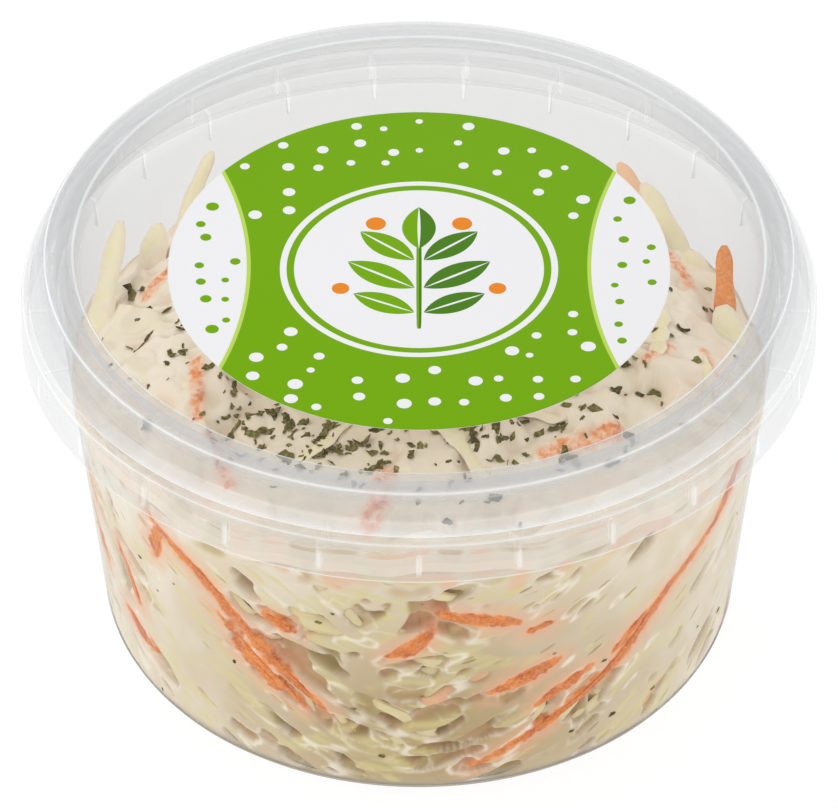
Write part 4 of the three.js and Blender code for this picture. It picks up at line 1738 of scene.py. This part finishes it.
def slotMask(tree, flow):  # short dark slots that run with the streaks, and a random value for each
    cells = addNode(tree, "TexVoronoi", {"Vector": flow, "Scale": 1 / (0.45 * mm), "Randomness": 1.0}).outputs
    draws = addNode(tree, "SeparateColor", {0: cells["Color"]}).outputs
    size = timesPlus(tree, draws[1], 0.24, 0.16)
    slot = ramped(tree, less(tree, size, cells["Distance"]), -0.02, 0.05)
    chosen = maths(tree, "GREATER_THAN", draws[0], 0.74)
    return times(tree, slot, chosen, attributeOf(tree, "slots")), draws[2]


def dressingMaterial():
    material, tree, shader = startMaterial("creamDressing")
    place = objectPlace(tree)
    flow = addNode(tree, "Attribute", {}, attribute_name="flow").outputs["Vector"]

    def speckled(size, detail, low, high, roughness=0.5, vector=place):
        return ramped(tree, grained(tree, vector, size, detail, roughness), low, high)

    def tinted(color, share, over):
        return blended(tree, share, color, foodLook[over] if isinstance(over, str) else over)

    streaks = speckled(0.6, 3.0, 0.52, 0.68, vector=flow)
    shows = times(tree, streaks, speckled(13, 1.0, 0.42, 0.6), 0.75)
    shows = larger(tree, shows, times(tree, attributeOf(tree, "tint"), 0.6))
    slot, chance = slotMask(tree, flow)
    slotColor = blended(tree, chance, foodLook["slotGreen"], foodLook["slotTan"])
    pocketShadeColor = blended(tree, speckled(6, 2.0, 0.4, 0.6), foodLook["pocketShade"], foodLook["pocketShadePink"])
    color = blended(tree, speckled(9, 2.0, 0.35, 0.65), foodLook["cream"], foodLook["creamLight"])
    # painted shade, darker and warmer, at the lower front of the side and over the top
    color = tinted(color, times(tree, attributeOf(tree, "warmShade"), 0.85), "creamShade")
    color = tinted(color, shows, "paleGreen")
    color = tinted(color, times(tree, slot, 0.8), slotColor)
    # painted shade in the pockets and creases
    color = tinted(color, times(tree, attributeOf(tree, "pocketShade"), 0.9), pocketShadeColor)
    color = tinted(color, times(tree, attributeOf(tree, "glow"), 0.55), "pink")
    # painted highlight along the edges of leaves and holes on the side; on the top the same colour makes the
    # whole coat paler
    color = tinted(color, times(tree, attributeOf(tree, "rim"), 0.8), "creamLight")
    patchy = times(tree, less(tree, grained(tree, place, 1.4, 5.0, 0.7), 0.5), 1.3)
    bare = ramped(tree, plus(tree, attributeOf(tree, "bare"), patchy), 0.2, 1.05)
    orange = blended(tree, speckled(2.6, 3.0, 0.4, 0.65), foodLook["carrot"], foodLook["carrotDeep"])
    orange = tinted(orange, times(tree, speckled(0.6, 5.0, 0.3, 0.8, 0.65), carrotLook["grit"]), "carrotVeil")
    color = tinted(color, times(tree, bare, 1.3, clamp=True), "pink")
    color = tinted(color, ramped(tree, bare, 0.45, 1.0), orange)
    relief = less(tree, grained(tree, place, 1.1, 3.0), times(tree, slot, 0.8))
    setFinish(tree, shader, color, dressingFinish, relief)
    return material


def shredMaterial(name, look):
    material, tree, shader = startMaterial(name)
    first, second, veil = look["colors"]
    place = objectPlace(tree)
    mottle = times(tree, less(tree, grained(tree, place, 2.6, 3.0), 0.35), 1.2)
    mixShare = plus(tree, times(tree, attributeOf(tree, "shade"), 0.6), mottle, clamp=True)
    color = blended(tree, mixShare, foodLook[first], foodLook[second])
    grit = ramped(tree, grained(tree, place, 0.45, 3.0), 0.35, 0.75)
    color = blended(tree, times(tree, grit, look["grit"]), color, foodLook[veil])
    ragged = times(tree, less(tree, grained(tree, place, 1.3, 4.0, 0.65), 0.5), 0.9)
    bare = ramped(tree, plus(tree, attributeOf(tree, "core"), ragged), look["edge"], look["edge"] + 0.3)
    coat = useGroup(tree, creamCoat, {"Vector": place, "Size": look["coatSize"], "Cover": look["cover"]})
    bare = times(tree, bare, less(tree, 1.0, coat["Mask"]))
    color = blended(tree, ramped(tree, bare, 0.0, 0.55), foodLook[veil], color)
    color = blended(tree, ramped(tree, bare, 0.35, 0.0), color, foodLook["cream"])
    color = blended(tree, attributeOf(tree, "coat"), color, foodLook[look["under"]])
    setFinish(tree, shader, color, shredFinish, coat["Relief"])
    return material


def herbMaterial():
    material, tree, shader = startMaterial("driedHerb")
    place = objectPlace(tree)
    veins = ramped(tree, grained(tree, place, 0.5, 3.0, 0.6), 0.45, 0.7)
    share = timesPlus(tree, attributeOf(tree, "shade"), 0.35, times(tree, veins, 0.6), clamp=True)
    color = blended(tree, share, foodLook["herb"], foodLook["herbLight"])
    setFinish(tree, shader, color, herbFinish, grained(tree, place, 0.4, 2.0))
    return material


topTint = {
    "coat": 0.7,  # light dressing all over
    # painted shade: the whole top is made a little darker and warmer
    "warmShade": 0.12,
    # middle, spread and strength of zones of painted shade, darker and warmer
    "warmZones": [(-10, -32, 32, 0.75), (44, -4, 22, 0.3)],
    "patchesFrom": (38, 45),  # radius
    "carrotGlow": (2.2, 0.2),  # distance from a carrot
    "flowSize": 4,
}


def tintTop():  # cream next to a carrot takes on its colour
    tree = KDTree(len(carrots.data.vertices))
    for index, vertex in enumerate(carrots.data.vertices):
        tree.insert(vertex.co, index)
    tree.balance()
    places = readPlaces(topDressing)
    away = np.array([tree.find(Vector(place) * mm)[2] / mm for place in places])
    nearWall = smooth(*topTint["patchesFrom"], np.hypot(places[:, 0], places[:, 1]))
    pinkPatch, shadePatch = softPatches(places)
    pocketShade = np.empty(len(places), np.float32)
    topDressing.data.attributes["pocketShade"].data.foreach_get("value", pocketShade)
    warmShade = topTint["warmShade"]
    for x, y, spread, strength in topTint["warmZones"]:
        warmShade = warmShade + strength * np.exp(-(np.hypot(places[:, 0] - x, places[:, 1] - y) / spread) ** 2)
    marks = {
        "glow": np.maximum(smooth(*topTint["carrotGlow"], away), pinkPatch * nearWall),
        "rim": np.full(len(places), topTint["coat"]),
        "pocketShade": np.maximum(pocketShade, shadePatch * nearWall),
        "flow": places * mm / topTint["flowSize"],
        "warmShade": warmShade,
    }
    for title, values in marks.items():
        writeAttribute(topDressing, title, values)


tintTop()
creamDressing = dressingMaterial()
pieces = [(sideDressing, creamDressing, 75) for sideDressing in sideDressings]
pieces.append((topDressing, creamDressing, 75))
pieces.append((cabbage, shredMaterial("cabbageShred", cabbageLook), 50))
pieces.append((carrots, shredMaterial("carrotShred", carrotLook), 50))
pieces.append((herbFlakes, herbMaterial(), 50))
for piece, material, angle in pieces:
    finishPiece(piece, "coleslaw", material, angle)
